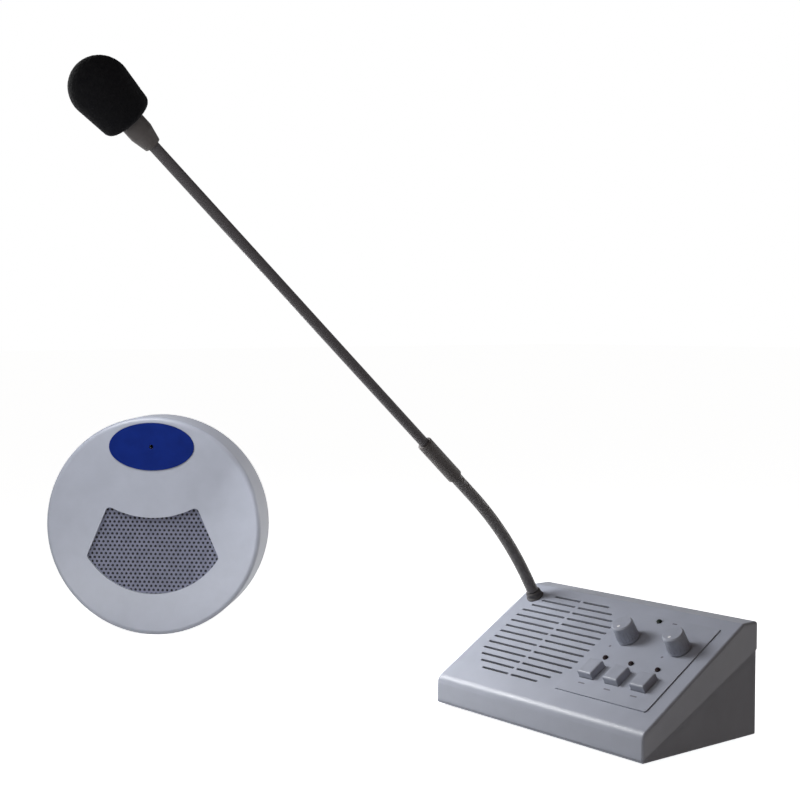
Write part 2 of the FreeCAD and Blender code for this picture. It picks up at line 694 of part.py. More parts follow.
def control_openings(body, low, high, slack, on_panel):
    """Holes for the buttons, lamps and knob shafts, from one level up to another."""
    sketch = new_sketch(body, level=high, on_panel=on_panel)
    for x, y in button_spots:
        centred_rectangle(sketch, x, y, button_width + 2 * slack, button_length + 2 * slack)
    circles(sketch, lamp_spots + [power_spot], lamp_radius + fit_gap)
    circles(sketch, knob_spots, shaft_radius + slack)
    pocket(body, sketch, high - low)


def top_cover():
    """Moulded cover: sloping top, ridge and skirt in one shell with its grille, seats and posts."""
    body = new_body("top_cover")
    profile = new_sketch(body, "YZ_Plane")
    ridge_y = rear_y - ridge_depth
    outer = [(front_y, seam_front), (front_y, panel_z), (ridge_y, rear_z), (rear_y, rear_z)]
    outline(profile, outer + [(rear_y, seam_rear)])
    block = pad(body, profile, console_width, middle=True)
    block = soften(body, block, front_round, lambda edge: along_x(edge, front_y, panel_z))
    half = console_width.value / 2

    def side_contour(edge):
        box = edge.BoundBox
        beside = box.XLength < 1e-4 and same(abs(box.XMin), half)
        return beside and not (same(box.YMin, front_y.value) and same(box.YMax, rear_y.value))

    block = soften(body, block, corner_round, lambda edge: along_x(edge, rear_y, rear_z))
    soften(body, block, corner_round, side_contour)
    cavity = new_sketch(body, "YZ_Plane")
    inside_front = front_y + cover_wall
    drop = cover_wall / cosine(slope_angle)
    inside_bend = front_y + (rear_z - cover_wall - panel_z + drop) / tangent(slope_angle)
    inside_rear = rear_y - cover_wall
    outline(
        cavity,
        [
            (inside_front, term(0)),
            (inside_front, panel_z + cover_wall * tangent(slope_angle) - drop),
            (inside_bend, rear_z - cover_wall),
            (inside_rear, rear_z - cover_wall),
            (inside_rear, term(0)),
        ],
    )
    pocket(body, cavity, console_width - 2 * cover_wall, middle=True)
    for x, y in screw_spots:
        case_boss(body, x, y)
    posts(body, post_spots, post_radius, -board_depth, -cover_wall + root, on_panel=True)
    clamp_foot = speaker_level - speaker_flange
    posts(body, clamp_spots, clamp_post, clamp_foot, -cover_wall + root, on_panel=True)
    drill(body, post_spots, screw_hole, -board_depth, -board_depth + screw_short, on_panel=True)
    drill(body, clamp_spots, small_screw, clamp_foot, clamp_foot + small_length, on_panel=True)
    drill(body, screw_spots, screw_hole, floor_top, floor_top + screw_deep)
    plate_seat = new_sketch(body, on_panel=True)
    seat = [plate_left - fit_gap, plate_right + fit_gap, plate_front - fit_gap, plate_back + fit_gap]
    rectangle(plate_seat, *seat)
    pocket(body, plate_seat, plate_sunk)
    control_openings(body, -cover_wall - 1, term(0), button_gap, True)
    drill(body, [neck_spot], bush_stem + fit_gap / 2, -cover_wall - 1, term(0), on_panel=True)
    cover_slots(body)
    seat = new_sketch(body, level=-cover_wall, on_panel=True)
    circles(seat, [(speaker_across, speaker_along)], speaker_radius + recess_margin)
    pocket(body, seat, recess_depth, reverse=True)
    return body


def case_boss(body, x, y):
    """A post from the base's floor up to the cover's inner face."""
    doc.recompute()
    shell = body.Tip
    aim = Part.makeLine(
        Vector(x.value, y.value, floor_top.value + 0.01), Vector(x.value, y.value, 2 * rear_z.value)
    )
    reached = [(aim.distToShape(face), number) for number, face in enumerate(shell.Shape.Faces, 1)]
    hits = [(found[1][0][0].z, number) for found, number in reached if found[0] < 1e-6]
    sketch = new_sketch(body, level=floor_top)
    circles(sketch, [(x, y)], boss_radius)
    boss = body.newObject("PartDesign::Pad", "case_boss")
    boss.Profile = sketch
    boss.Type = "UpToFace"
    boss.UpToFace = (shell, [f"Face{min(hits)[1]}"])


def base_shell():
    """Moulded base: floor, low front and rising sides, with a lip that the cover slips over."""
    body = new_body("base_shell")
    profile = new_sketch(body, "YZ_Plane")
    near, far = front_y + base_inset, rear_y - base_inset
    near_top = seam_front + seam_rise * base_inset - seam_gap
    far_top = seam_rear - seam_rise * base_inset - seam_gap
    outline(profile, [(near, foot_stand), (near, near_top), (far, far_top), (far, foot_stand)])
    block = pad(body, profile, console_width - 2 * base_inset, middle=True)
    block = soften(body, block, corner_round, lambda edge: upright_corner(edge, far))
    soften(body, block, base_inset, lambda edge: at_height(edge, foot_stand), "Chamfer")
    lip = new_sketch(body, "YZ_Plane")
    near, far = front_y + lip_side, rear_y - lip_side
    near_top = seam_front + seam_rise * lip_side + lip_rise
    far_top = seam_rear - seam_rise * lip_side + lip_rise
    low = foot_stand + floor_wall / 2
    outline(lip, [(near, low), (near, near_top), (far, far_top), (far, low)])
    pad(body, lip, console_width - 2 * lip_side, middle=True)
    room = new_sketch(body, "YZ_Plane")
    rectangle(room, front_y + inner_side, rear_y - inner_side, floor_top, rear_z)
    pocket(body, room, console_width - 2 * inner_side, middle=True)
    posts(body, jack_post_spots, jack_post, floor_top - root, jack_board_top - board_thick)
    drill(body, jack_post_spots, screw_hole, floor_top, jack_board_top - board_thick)
    drill(body, screw_spots, screw_shank + seam_gap, foot_stand, floor_top)
    drill(body, screw_spots, screw_head + seam_gap, foot_stand, foot_stand + screw_head_height + screw_sunk)
    drill(body, foot_spots, foot_radius + fit_gap, foot_stand, foot_stand + foot_sunk)
    holes = new_sketch(body, "XZ_Plane", level=-rear_y)
    for place, nose in zip(jack_places, jack_noses):
        circles(holes, [(place, jack_axis)], nose + fit_gap)
    pocket(body, holes, inner_side + 1, reverse=True)
    return body


def upright_corner(edge, far):
    box = edge.BoundBox
    return box.ZLength > 3 and box.XLength < 1e-4 and same(box.YMin, far.value) and box.YLength < 1e-4


def control_plate():
    """Thin plate that frames the buttons, lamps and knobs and stands a little proud."""
    body = new_body("control_plate")
    stand_on_panel(body)
    sketch = new_sketch(body, level=-plate_sunk)
    rectangle(sketch, plate_left, plate_right, plate_front, plate_back)
    plate = pad(body, sketch, plate_sunk + plate_proud)
    soften(body, plate, plate_round, lambda edge: edge.BoundBox.ZLength > 1)
    control_openings(body, -plate_sunk, plate_proud, button_gap, False)
    return body


def rubber_feet():
    body = new_body("rubber_feet")
    posts(body, foot_spots, foot_radius, term(0), foot_stand + foot_sunk)
    return body


# ---------------------------------------------------------------- screws


def screws(label, spots, head_level, length, rise=1):
    """Screws in one node: heads at a level, shanks up from there (or down when rise is -1)."""
    body = new_body(label)
    if rise > 0:
        posts(body, spots, screw_head, head_level, head_level + screw_head_height)
        posts(body, spots, screw_shank, head_level + screw_head_height, head_level + length)
    else:
        posts(body, spots, screw_head, head_level - screw_head_height, head_level)
        posts(body, spots, screw_shank, head_level - length, head_level - screw_head_height)
    return body


# ---------------------------------------------------------------- loudspeakers


def speaker_basket(label):
    """Pressed basket: flange, sloping side and back plate, open in the middle for the coil."""
    body = new_body(label)
    inner = speaker_radius - basket_rim
    floor = -speaker_depth + basket_skin
    turned(
        body,
        [
            (speaker_radius, term(0)),
            (speaker_radius, -speaker_flange),
            (inner, -speaker_flange),
            (magnet_radius, -speaker_depth),
            (coil_radius + coil_clear, -speaker_depth),
            (coil_radius + coil_clear, floor),
            (magnet_radius - basket_skin / 2, floor),
            (inner - basket_skin, term(0)),
        ],
    )
    return body


def speaker_cone(label):
    """Paper cone with its edge ring, dust cap and coil former."""
    body = new_body(label)
    edge = speaker_radius - cone_margin - cone_rim
    cap_low = -speaker_depth + cap_rise
    cap_top = cap_low + cone_paper
    coil_inner = coil_radius - cone_paper
    coil_foot = -speaker_depth + gasket
    turned(
        body,
        [
            (speaker_radius - cone_margin, term(0)),
            (speaker_radius - cone_margin, gasket),
            (edge, gasket),
            (coil_radius, cap_top),
            (term(0), cap_top + cap_dome),
            (term(0), cap_low),
            (coil_inner, cap_top - cap_dome),
            (coil_inner, coil_foot),
            (coil_radius, coil_foot),
            (coil_radius + cone_paper, cap_low - cone_paper / 2),
            (edge, term(0)),
        ],
    )
    return body


def speaker_magnet(label):
    body = new_body(label)
    foot = -speaker_depth - magnet_height
    shape = turned(
        body,
        [(term(0), -speaker_depth), (magnet_radius, -speaker_depth), (magnet_radius, foot), (term(0), foot)],
    )
    soften(body, shape, magnet_chamfer, lambda edge: at_height(edge, foot), "Chamfer")
    return body


def loudspeaker(prefix, place):
    for made in (speaker_basket(f"{prefix}_basket"), speaker_cone(f"{prefix}_cone")):
        place(made)
    place(speaker_magnet(f"{prefix}_magnet"))


def speaker_clamps(label, turns):
    """Small plates that hold the flange against its seat."""
    body = new_body(label)
    level = -speaker_flange - clamp_thickness
    for turn in turns:
        inner = speaker_radius - clamp_lap
        outer = clamp_reach + clamp_tail
        cos_turn, sin_turn = math.cos(math.radians(turn)), math.sin(math.radians(turn))
        sketch = new_sketch(body, level=level)
        reach = [(inner, -1), (outer, -1), (outer, 1), (inner, 1)]
        corners = []
        for radius, side in reach:
            half = clamp_width / 2 * side
            corners.append((radius * cos_turn - half * sin_turn, radius * sin_turn + half * cos_turn))
        outline(sketch, corners)
        pad(body, sketch, clamp_thickness)
    drill(body, on_circle(clamp_reach, turns), small_screw + fit_gap, level, -speaker_flange)
    return body


def clamp_screws(label, turns):
    body = new_body(label)
    spots = on_circle(clamp_reach, turns)
    seat = -speaker_flange - clamp_thickness
    posts(body, spots, small_head, seat - small_head_height, seat)
    posts(body, spots, small_screw, seat, seat + small_length)
    return body


def grille_cloth():
    body = new_body("grille_cloth")
    stand_on_panel(body, speaker_across, speaker_along, speaker_level + gasket)
    posts(body, [(term(0), term(0))], speaker_radius, term(0), cloth)
    return body


# ---------------------------------------------------------------- controls


def button(name, x):
    """Key cap with a collar below the cover and a stem into its switch."""
    body = new_body(f"{name}_button")
    stand_on_panel(body, x, button_row, 0)
    top = plate_proud + button_height
    collar_low = -cover_wall - screw_loose - collar_thick
    sketch = new_sketch(body, level=collar_low)
    centred_rectangle(sketch, term(0), term(0), button_width, button_length)
    cap = pad(body, sketch, top - collar_low)
    soften(body, cap, button_round, lambda edge: at_height(edge, top))
    sketch = new_sketch(body, level=collar_low)
    collar_width = button_width + 2 * button_collar
    centred_rectangle(sketch, term(0), term(0), collar_width, button_length + 2 * button_collar)
    pad(body, sketch, collar_thick)
    foot = -board_depth + button_travel + stem_spare
    posts(body, [(term(0), term(0))], stem_radius, foot, collar_low)
    return body


def push_switch(name, x):
    """Switch case on the board with a well for the button's stem."""
    body = new_body(f"{name}_switch")
    stand_on_panel(body, x, button_row, -board_depth)
    sketch = new_sketch(body)
    centred_rectangle(sketch, term(0), term(0), switch_width, switch_width)
    pad(body, sketch, switch_height)
    drill(body, [(term(0), term(0))], stem_radius + seam_gap, stem_spare / 2, switch_height)
    return body


def lamps(label, spots):
    """Round lamps with a dome, a rim and two legs down to the board."""
    body = new_body(label)
    stand_on_panel(body)
    rim = -cover_wall - lamp_sunk
    posts(body, spots, lamp_radius, rim, plate_proud + lamp_proud)
    top = plate_proud + lamp_proud + lamp_dome
    dome = posts(body, spots, lamp_radius, plate_proud + lamp_proud, top)
    soften(body, dome, lamp_chamfer, lambda edge: at_height(edge, top), "Chamfer")
    rim_low = rim - lamp_sunk / 3
    posts(body, spots, lamp_radius + lamp_rim, rim_low, rim)
    legs = [(x + side * lamp_legs / 2, y) for x, y in spots for side in (-1, 1)]
    posts(body, legs, lamp_leg, -board_depth, rim_low)
    return body


def volume_control(name, x):
    """Case and bush that the shaft turns in."""
    body = new_body(f"{name}_volume_control")
    stand_on_panel(body, x, knob_row, -board_depth)
    sketch = new_sketch(body)
    centred_rectangle(sketch, term(0), term(0), pot_width, pot_length)
    pad(body, sketch, pot_height)
    centre = [(term(0), term(0))]
    posts(body, centre, shaft_radius + pot_bush, pot_height, pot_height + pot_neck)
    drill(body, centre, shaft_radius + shaft_clear, pot_floor, pot_height + pot_neck)
    return body


def volume_shaft(name, x):
    body = new_body(f"{name}_volume_shaft")
    stand_on_panel(body, x, knob_row, 0)
    top = plate_proud + knob_gap + knob_height - knob_roof
    posts(body, [(term(0), term(0))], shaft_radius, -board_depth + shaft_foot, top)
    return body


def volume_knob(name, x):
    """Round knob with finger flutes and a dot sunk in its top."""
    body = new_body(f"{name}_volume_knob")
    stand_on_panel(body, x, knob_row, plate_proud + knob_gap)
    top_radius = knob_radius - knob_taper
    turned(
        body,
        [
            (term(0), term(0)),
            (knob_radius, term(0)),
            (top_radius, knob_height - knob_edge),
            (top_radius - knob_edge, knob_height),
            (term(0), knob_height),
        ],
    )
    sketch = new_sketch(body, level=flute_foot)
    circles(sketch, [(knob_radius + flute_reach, term(0))], flute_radius)
    flute = pocket(body, sketch, knob_height - knob_roof - flute_foot, reverse=True)
    pattern = body.newObject("PartDesign::PolarPattern", "flutes")
    pattern.Originals = [flute]
    pattern.Axis = (sketch, ["N_Axis"])
    pattern.Angle = 360
    pattern.Occurrences = int(flute_count.value)
    body.Tip = pattern
    drill(body, [(term(0), term(0))], shaft_radius, term(0), knob_height - knob_roof)
    drill(body, [(term(0), -dot_reach)], dot_radius, knob_height - dot_depth, knob_height)
    return body


def main_board():
    body = new_body("main_board")
    stand_on_panel(body, 0, 0, -board_depth - board_thick)
    sketch = new_sketch(body)
    rectangle(sketch, board_left, board_right, board_front, board_back)
    pad(body, sketch, board_thick)
    drill(body, post_spots, screw_shank + screw_loose, term(0), board_thick)
    return body


# ---------------------------------------------------------------- sockets at the rear


def socket_board():
    body = new_body("socket_board")
    stand(body, (term(0), term(0), jack_board_top - board_thick))
    sketch = new_sketch(body)
    left, right = jack_places[0] - jack_board_side, jack_places[2] + jack_board_side
    rectangle(sketch, left, right, jack_front - jack_board_front, jack_face)
    pad(body, sketch, board_thick)
    drill(body, jack_post_spots, screw_shank + screw_loose, term(0), board_thick)
    return body


def rear_socket(label, x, nose, bore):
    """Socket body on its board, with a nose in the base's rear wall and an open bore."""
    body = new_body(label)
    stand(body, (x, jack_face, jack_axis))
    sketch = new_sketch(body, "XZ_Plane")
    centred_rectangle(sketch, term(0), term(0), jack_width, jack_height)
    pad(body, sketch, jack_depth)
    reach = nose_end - jack_face
    sketch = new_sketch(body, "XZ_Plane")
    circles(sketch, [(term(0), term(0))], nose)
    pad(body, sketch, reach, reverse=True)
    sketch = new_sketch(body, "XZ_Plane", level=-reach)
    circles(sketch, [(term(0), term(0))], bore)
    pocket(body, sketch, bore_depth, reverse=True)
    return body


def capacitors():
    body = new_body("capacitors")
    y = jack_front - can_front
    top = jack_board_top + can_height
    spots = [(jack_places[0] + can_inlet, y), (jack_places[1] + can_socket, y)]
    can = posts(body, spots, can_radius, jack_board_top, top)
    soften(body, can, can_chamfer, lambda edge: at_height(edge, top), "Chamfer")
    return body


def amplifier():
    """Amplifier chip bolted to a finned heat sink."""
    body = new_body("amplifier_heat_sink")
    sketch = new_sketch(body, level=jack_board_top)
    left = jack_places[1] + sink_inset
    front = jack_front - sink_front
    right, back, web = left + sink_width, front + sink_depth, front + sink_web
    comb = [(left, front), (right, front)]
    for tooth in range(3):
        edge = right - fin_pitch * tooth
        comb += [(edge, back), (edge - fin_width, back), (edge - fin_width, web), (edge - fin_pitch, web)]
    outline(sketch, comb[:-1])
    pad(body, sketch, sink_height)
    return body


# ---------------------------------------------------------------- gooseneck and microphone


def ball_foot(radius):
    """The lower half of a ball, as the start of a turned outline."""
    return [(term(0), -radius), (radius, term(0), term(0), term(0), True)]


def neck_bush():
    """Bush clamped in the cover, with a cup for the first ball of the neck."""
    body = new_body("neck_bush")
    stand_on_panel(body, *neck_spot, 0)
    cup = neck_radius + link_gap
    rim = pivot_rise - cup / 2
    turned(
        body,
        [
            (term(0), -bush_stem_length),
            (bush_stem, -bush_stem_length),
            (bush_stem, term(0)),
            (bush_flange, term(0)),
            (bush_flange, bush_flange_edge),
            (bush_radius, bush_flange_height),
            (bush_radius, rim - 2 * bush_bevel),
            (bush_radius - bush_bevel, rim),
            (cup * math.sqrt(0.75), rim),
            (term(0), pivot_rise - cup, term(0), pivot_rise, False),
        ],
    )
    return body


def neck_nut():
    body = new_body("neck_nut")
    stand_on_panel(body, *neck_spot, -cover_wall - nut_height)
    sketch = new_sketch(body)
    outline(sketch, on_circle(nut_radius, range(0, 360, 60)))
    pad(body, sketch, nut_height)
    drill(body, [(term(0), term(0))], bush_stem, term(0), nut_height)
    return body


def neck_place(count):
    """Where a pivot of the neck is, and how far its link leans from upright."""
    across, y, z = panel_point(*neck_spot, pivot_rise)
    lean = slope_angle
    for index in range(count):
        lean = link_lean(index)
        y = y - link_length * sine(lean)
        z = z + link_length * cosine(lean)
    return (across, y, z), link_lean(count)


def link_lean(index):
    share = min(1.0, index / bent_links.value)
    return slope_angle + (neck_lean - slope_angle) * share


def neck_link(number):
    """One link: a ball below, a cup above for the next ball."""
    body = new_body(f"neck_link_{number + 1}")
    stand(body, *neck_place(number))
    cup = neck_radius + link_gap
    rim = link_length - cup * cosine(cup_opening)
    turned(
        body,
        ball_foot(neck_radius)
        + [
            (neck_radius, rim),
            (cup * sine(cup_opening), rim),
            (term(0), link_length - cup, term(0), link_length, False),
        ],
    )
    return body


def stand_on_neck(body, rise):
    """Place a piece on the straight part, a distance past the last pivot."""
    (x, y, z), lean = neck_place(int(neck_links.value))
    stand(body, (x, y - rise * sine(lean), z + rise * cosine(lean)), lean)


def ferrule():
    """Ferrule between the flexible neck and the upper tube, with a ball on its foot."""
    body = new_body("neck_ferrule")
    stand_on_neck(body, term(0))
    turned(
        body,
        ball_foot(neck_radius)
        + [
            (neck_radius, ferrule_shoulder),
            (ferrule_radius - ferrule_chamfer, ferrule_shoulder),
            (ferrule_radius, ferrule_shoulder + ferrule_chamfer),
            (ferrule_radius, ferrule_length - ferrule_chamfer),
            (ferrule_radius - ferrule_chamfer, ferrule_length),
            (tube_radius, ferrule_length),
            (tube_radius, ferrule_length - tube_seat),
            (term(0), ferrule_length - tube_seat),
        ],
    )
    return body


def upper_tube():
    body = new_body("neck_upper_tube")
    stand_on_neck(body, ferrule_length - tube_seat)
    centre = [(term(0), term(0))]
    length = tube_length + 2 * tube_seat
    posts(body, centre, tube_radius, term(0), length)
    drill(body, centre, tube_radius - tube_wall, term(0), length)
    return body


def microphone_collar():
    """Flared collar on the tube that carries the capsule holder inside the windscreen."""
    body = new_body("microphone_collar")
    stand_on_neck(body, ferrule_length + tube_length)
    top = collar_length + holder_length
    inner = collar_top - holder_wall
    turned(
        body,
        [
            (tube_radius, term(0)),
            (collar_foot, term(0)),
            (collar_top, collar_length),
            (collar_top, top - holder_bevel),
            (collar_top - holder_bevel, top),
            (inner, top),
            (inner, top - capsule_height),
            (term(0), top - capsule_height),
            (term(0), tube_seat),
            (tube_radius, tube_seat),
        ],
    )
    return body


def microphone_capsule():
    body = new_body("microphone_capsule")
    stand_on_neck(body, ferrule_length + tube_length + collar_length + holder_length - capsule_height)
    shape = posts(body, [(term(0), term(0))], collar_top - holder_wall, term(0), capsule_height)
    soften(body, shape, can_chamfer, lambda edge: at_height(edge, capsule_height), "Chamfer")
    return body


def foam_windscreen():
    """Foam cap over the capsule: flat where the barrel enters, widest near its domed tip."""
    body = new_body("foam_windscreen")
    stand_on_neck(body, ferrule_length + tube_length + collar_length + barrel_length)
    shoulder = foam_waist - foam_mouth
    dome = foam_length - foam_radius
    top = holder_length - barrel_length
    turned(
        body,
        [
            (collar_top, term(0)),
            (foam_mouth, term(0)),
            (foam_waist, shoulder, foam_mouth, shoulder, True),
            (foam_radius, dome),
            (term(0), foam_length, term(0), dome, True),
            (term(0), top),
            (collar_top, top),
        ],
    )
    return body


# ---------------------------------------------------------------- round window unit


def fan_outline(sketch, margin):
    """The opening's outline: two arcs that sag and two leaning sides, larger by a margin."""
    foot_r, head_r = fan_foot_radius + margin, fan_head_radius - margin
    foot_half, head_half = fan_foot_half + margin, fan_head_half + margin
    foot_y = fan_foot_centre.value - math.sqrt(foot_r.value**2 - foot_half.value**2)
    head_y = fan_head_centre.value - math.sqrt(head_r.value**2 - head_half.value**2)
    left_foot = Vector(-foot_half.value, foot_y, 0)
    right_foot = Vector(foot_half.value, foot_y, 0)
    left_head = Vector(-head_half.value, head_y, 0)
    right_head = Vector(head_half.value, head_y, 0)
    foot_centre = Vector(0, fan_foot_centre.value, 0)
    head_centre = Vector(0, fan_head_centre.value, 0)
    sketch.addGeometry(arc_between(left_foot, right_foot, foot_centre, True))
    sketch.addGeometry(Part.LineSegment(right_foot, right_head))
    sketch.addGeometry(arc_between(left_head, right_head, head_centre, True))
    sketch.addGeometry(Part.LineSegment(left_head, left_foot))
    for first, second in (((0, 2), (1, 1)), ((1, 2), (2, 2)), ((2, 1), (3, 1)), ((3, 2), (0, 1))):
        sketch.addConstraint(Sketcher.Constraint("Coincident", *first, *second))
    for arc, centre, radius in ((0, fan_foot_centre, foot_r), (2, fan_head_centre, head_r)):
        pin_point(sketch, arc, 3, term(0), centre)
        dimension(sketch, "Radius", (arc,), radius)
    for edge, end, half in ((0, 1, -foot_half), (0, 2, foot_half), (2, 1, -head_half), (2, 2, head_half)):
        dimension(sketch, "DistanceX", (-1, 1, edge, end), half)


def oval(sketch, height, half_width, half_height):
    centre = Vector(0, height.value, 0)
    along = centre + Vector(half_width.value, 0, 0)
    across = centre + Vector(0, half_height.value, 0)
    edge = sketch.addGeometry(Part.Ellipse(along, across, centre))
    sketch.exposeInternalGeometry(edge)
    pin_point(sketch, edge, 3, term(0), height)
    sketch.addConstraint(Sketcher.Constraint("Horizontal", edge + 1))
    dimension(sketch, "Distance", (edge + 1,), 2 * half_width)
    dimension(sketch, "Distance", (edge + 2,), 2 * half_height)


def fan_corner(edge):
    """The four edges through the face at the opening's corners."""
    box = edge.BoundBox
    middle = math.hypot(box.XMin, box.YMin)
    straight = box.XLength < 1e-4 and box.YLength < 1e-4 and box.ZLength > 0.5
    return straight and middle < window_radius.value * 0.85


def window_shell():
    """Round front shell: a shallow cup with the grille opening, badge seat and posts."""
    body = new_body("window_shell")
    stand_in_window(body)
    inner = window_radius - window_wall
    face_in = window_thick - window_wall
    cup = turned(
        body,
        [
            (inner, term(0)),
            (window_radius, term(0)),
            (window_radius, window_thick),
            (term(0), window_thick),
            (term(0), face_in),
            (inner, face_in),
        ],
    )
    soften(body, cup, window_round, lambda edge: at_height(edge, window_thick))
    opening = new_sketch(body, level=window_thick)
    fan_outline(opening, term(0))
    cut = pocket(body, opening, window_wall)
    cut = soften(body, cut, fan_round, fan_corner)
    seat = new_sketch(body, level=window_thick)
    oval(seat, badge_height, badge_half_width + fit_gap, badge_half_height + fit_gap)
    pocket(body, seat, badge_sunk)
    drill(body, [(term(0), badge_height)], voice_hole, face_in, window_thick)
    post_foot = back_thick
    window_post_spots = on_circle(window_post_reach, window_posts)
    posts(body, window_post_spots, window_post, post_foot, face_in + root)
    drill(body, window_post_spots, screw_hole, post_foot, post_foot + screw_deep)
    clamp_foot = speaker_height_in_window - speaker_flange
    clamp_here = on_circle(clamp_reach, window_clamps, 0, -window_speaker_drop)
    posts(body, clamp_here, clamp_post, clamp_foot, face_in + root)
    drill(body, clamp_here, small_screw, clamp_foot, clamp_foot + small_length)
    side = new_sketch(body, "YZ_Plane", level=-window_radius)
    circles(side, [(term(0), socket_rise)], socket_nose + fit_gap)
    pocket(body, side, window_wall * 2, reverse=True)
    return body


def window_back():
    """Back plate set into the shell's rim, with holes for fixing it to a wall or frame."""
    body = new_body("window_back_plate")
    stand_in_window(body)
    posts(body, [(term(0), term(0))], window_radius - window_wall - fit_gap, term(0), back_thick)
    drill(body, on_circle(wall_hole_circle, (45, 135, 225, 315)), wall_hole, term(0), back_thick)
    spots = on_circle(window_post_reach, window_posts)
    drill(body, spots, screw_shank + screw_loose, term(0), back_thick)
    drill(body, spots, screw_head + seam_gap, term(0), screw_head_height)
    return body


def window_grille():
    """Sheet behind the opening. Its fine holes are too small to model here."""
    body = new_body("window_grille")
    stand_in_window(body, 0, 0, window_thick - window_wall - fan_sheet)
    sketch = new_sketch(body)
    fan_outline(sketch, fan_margin)
    pad(body, sketch, fan_sheet)
    return body


def window_badge():
    body = new_body("window_badge")
    stand_in_window(body, 0, 0, window_thick - badge_sunk)
    sketch = new_sketch(body)
    oval(sketch, badge_height, badge_half_width, badge_half_height)
    pad(body, sketch, badge_thick)
    drill(body, [(term(0), badge_height)], voice_hole, term(0), badge_thick)
    return body


def window_microphone():
    """Rubber boot behind the hole, with the microphone capsule in it."""
    top = window_thick - window_wall
    boot = new_body("window_microphone_boot")
    stand_in_window(boot, 0, badge_height, top - boot_height)
    centre = [(term(0), term(0))]
    posts(boot, centre, boot_radius, term(0), boot_height)
    drill(boot, centre, boot_radius - boot_wall, term(0), boot_height - boot_roof)
    drill(boot, centre, voice_hole, boot_height - boot_roof, boot_height)
    capsule = new_body("window_microphone_capsule")
    stand_in_window(capsule, 0, badge_height, top - boot_height)
    posts(capsule, centre, boot_radius - boot_wall, term(0), boot_height - boot_roof)


def window_socket():
    """Socket for the console's lead, in the rim's left side."""
    body = new_body("window_socket")
    stand_in_window(body, 0, 0, socket_rise)
    face = -window_radius + window_wall + socket_clear
    sketch = new_sketch(body, "YZ_Plane", level=face)
    centred_rectangle(sketch, term(0), term(0), socket_body_width, socket_body_height)
    pad(body, sketch, jack_depth)
    nose = new_sketch(body, "YZ_Plane", level=face)
    circles(nose, [(term(0), term(0))], socket_nose)
    pad(body, nose, window_wall + socket_clear - socket_sunk, reverse=True)
    bore = new_sketch(body, "YZ_Plane", level=-window_radius + socket_sunk)
    circles(bore, [(term(0), term(0))], socket_bore)
    pocket(body, bore, bore_depth, reverse=True)
    return body


def mounting_pad():
    body = new_body("window_mounting_pad")
    stand_in_window(body, 0, 0, -pad_thick)
    centre = [(term(0), term(0))]
    posts(body, centre, pad_outer, term(0), pad_thick)
    drill(body, centre, pad_inner, term(0), pad_thick)
    return body


# ---------------------------------------------------------------- build


def build_console():
    top_cover()
    base_shell()
    control_plate()
    rubber_feet()
    grille_cloth()
    for name, spot in zip(("left", "middle", "right"), button_spots):
        button(name, spot[0])
        push_switch(name, spot[0])
    lamps("status_lamps", lamp_spots)
    lamps("power_lamp", [power_spot])
    for name, spot in zip(("left", "right"), knob_spots):
        volume_control(name, spot[0])
        volume_shaft(name, spot[0])
        volume_knob(name, spot[0])
    main_board()
    socket_board()
    for label, place, nose, bore in (
        ("power_inlet", jack_places[0], inlet_nose, inlet_bore),
        ("window_unit_socket", jack_places[1], socket_nose, socket_bore),
        ("recording_socket", jack_places[2], socket_nose, socket_bore),
    ):
        rear_socket(label, place, nose, bore)
    capacitors()
    amplifier()


def build_neck():
    neck_bush()
    neck_nut()
    for number in range(int(neck_links.value)):
        neck_link(number)
    ferrule()
    upper_tube()
    microphone_collar()
    microphone_capsule()
    foam_windscreen()


def build_window_unit():
    window_shell()
    window_back()
    window_grille()
    window_badge()
    window_microphone()
    window_socket()
    mounting_pad()


def build_speakers():
    """The same loudspeaker in both units, with its clamps and screws."""

    def in_console(thing):
        stand_on_panel(thing, speaker_across, speaker_along, speaker_level)

    def in_window(thing):
        stand_in_window(thing, 0, -window_speaker_drop, speaker_height_in_window)

    clamps = []
    small_screws = []
    for prefix, place, turns in (
        ("console_speaker", in_console, clamp_turns),
        ("window_speaker", in_window, window_clamps),
    ):
        loudspeaker(prefix, place)
        clamps.append(speaker_clamps(f"{prefix}_clamps", turns))
        small_screws.append(clamp_screws(f"{prefix}_screws", turns))
        place(clamps[-1])
        place(small_screws[-1])
    grouped("speaker_clamps", clamps)
    grouped("speaker_screws", small_screws)


def build_screws():
    console = screws("console_screws", screw_spots, foot_stand + screw_sunk, screw_deep)
    window = screws("window_screws", on_circle(window_post_reach, window_posts), term(0), screw_deep)
    stand_in_window(window)
    grouped("case_screws", [console, window])
    under = -board_depth - board_thick - screw_head_height
    main = screws("main_screws", post_spots, under, screw_short)
    stand_on_panel(main)
    over = jack_board_top + screw_head_height
    rear = screws("rear_screws", jack_post_spots, over, screw_short, rise=-1)
    grouped("board_screws", [main, rear])


def build():
    build_console()
    build_neck()
    build_window_unit()
    build_speakers()
    build_screws()


def check():
    """Stop if anything failed to build."""
    for thing in doc.Objects:
        if any(word in thing.State for word in ("Invalid", "Error")):
            raise RuntimeError(f"{thing.Label} did not build: {thing.State}")
    for node in nodes:
        if node.Shape.isNull() or not node.Shape.isValid():
            raise RuntimeError(f"{node.Label} has no valid shape")


def write():
    os.makedirs("parts", exist_ok=True)
    for node in nodes:
        node.Shape.exportStep(f"parts/{node.Label}.step")


build()
doc.recompute()
check()
write()
print(f"{len(nodes)} sub-parts written")
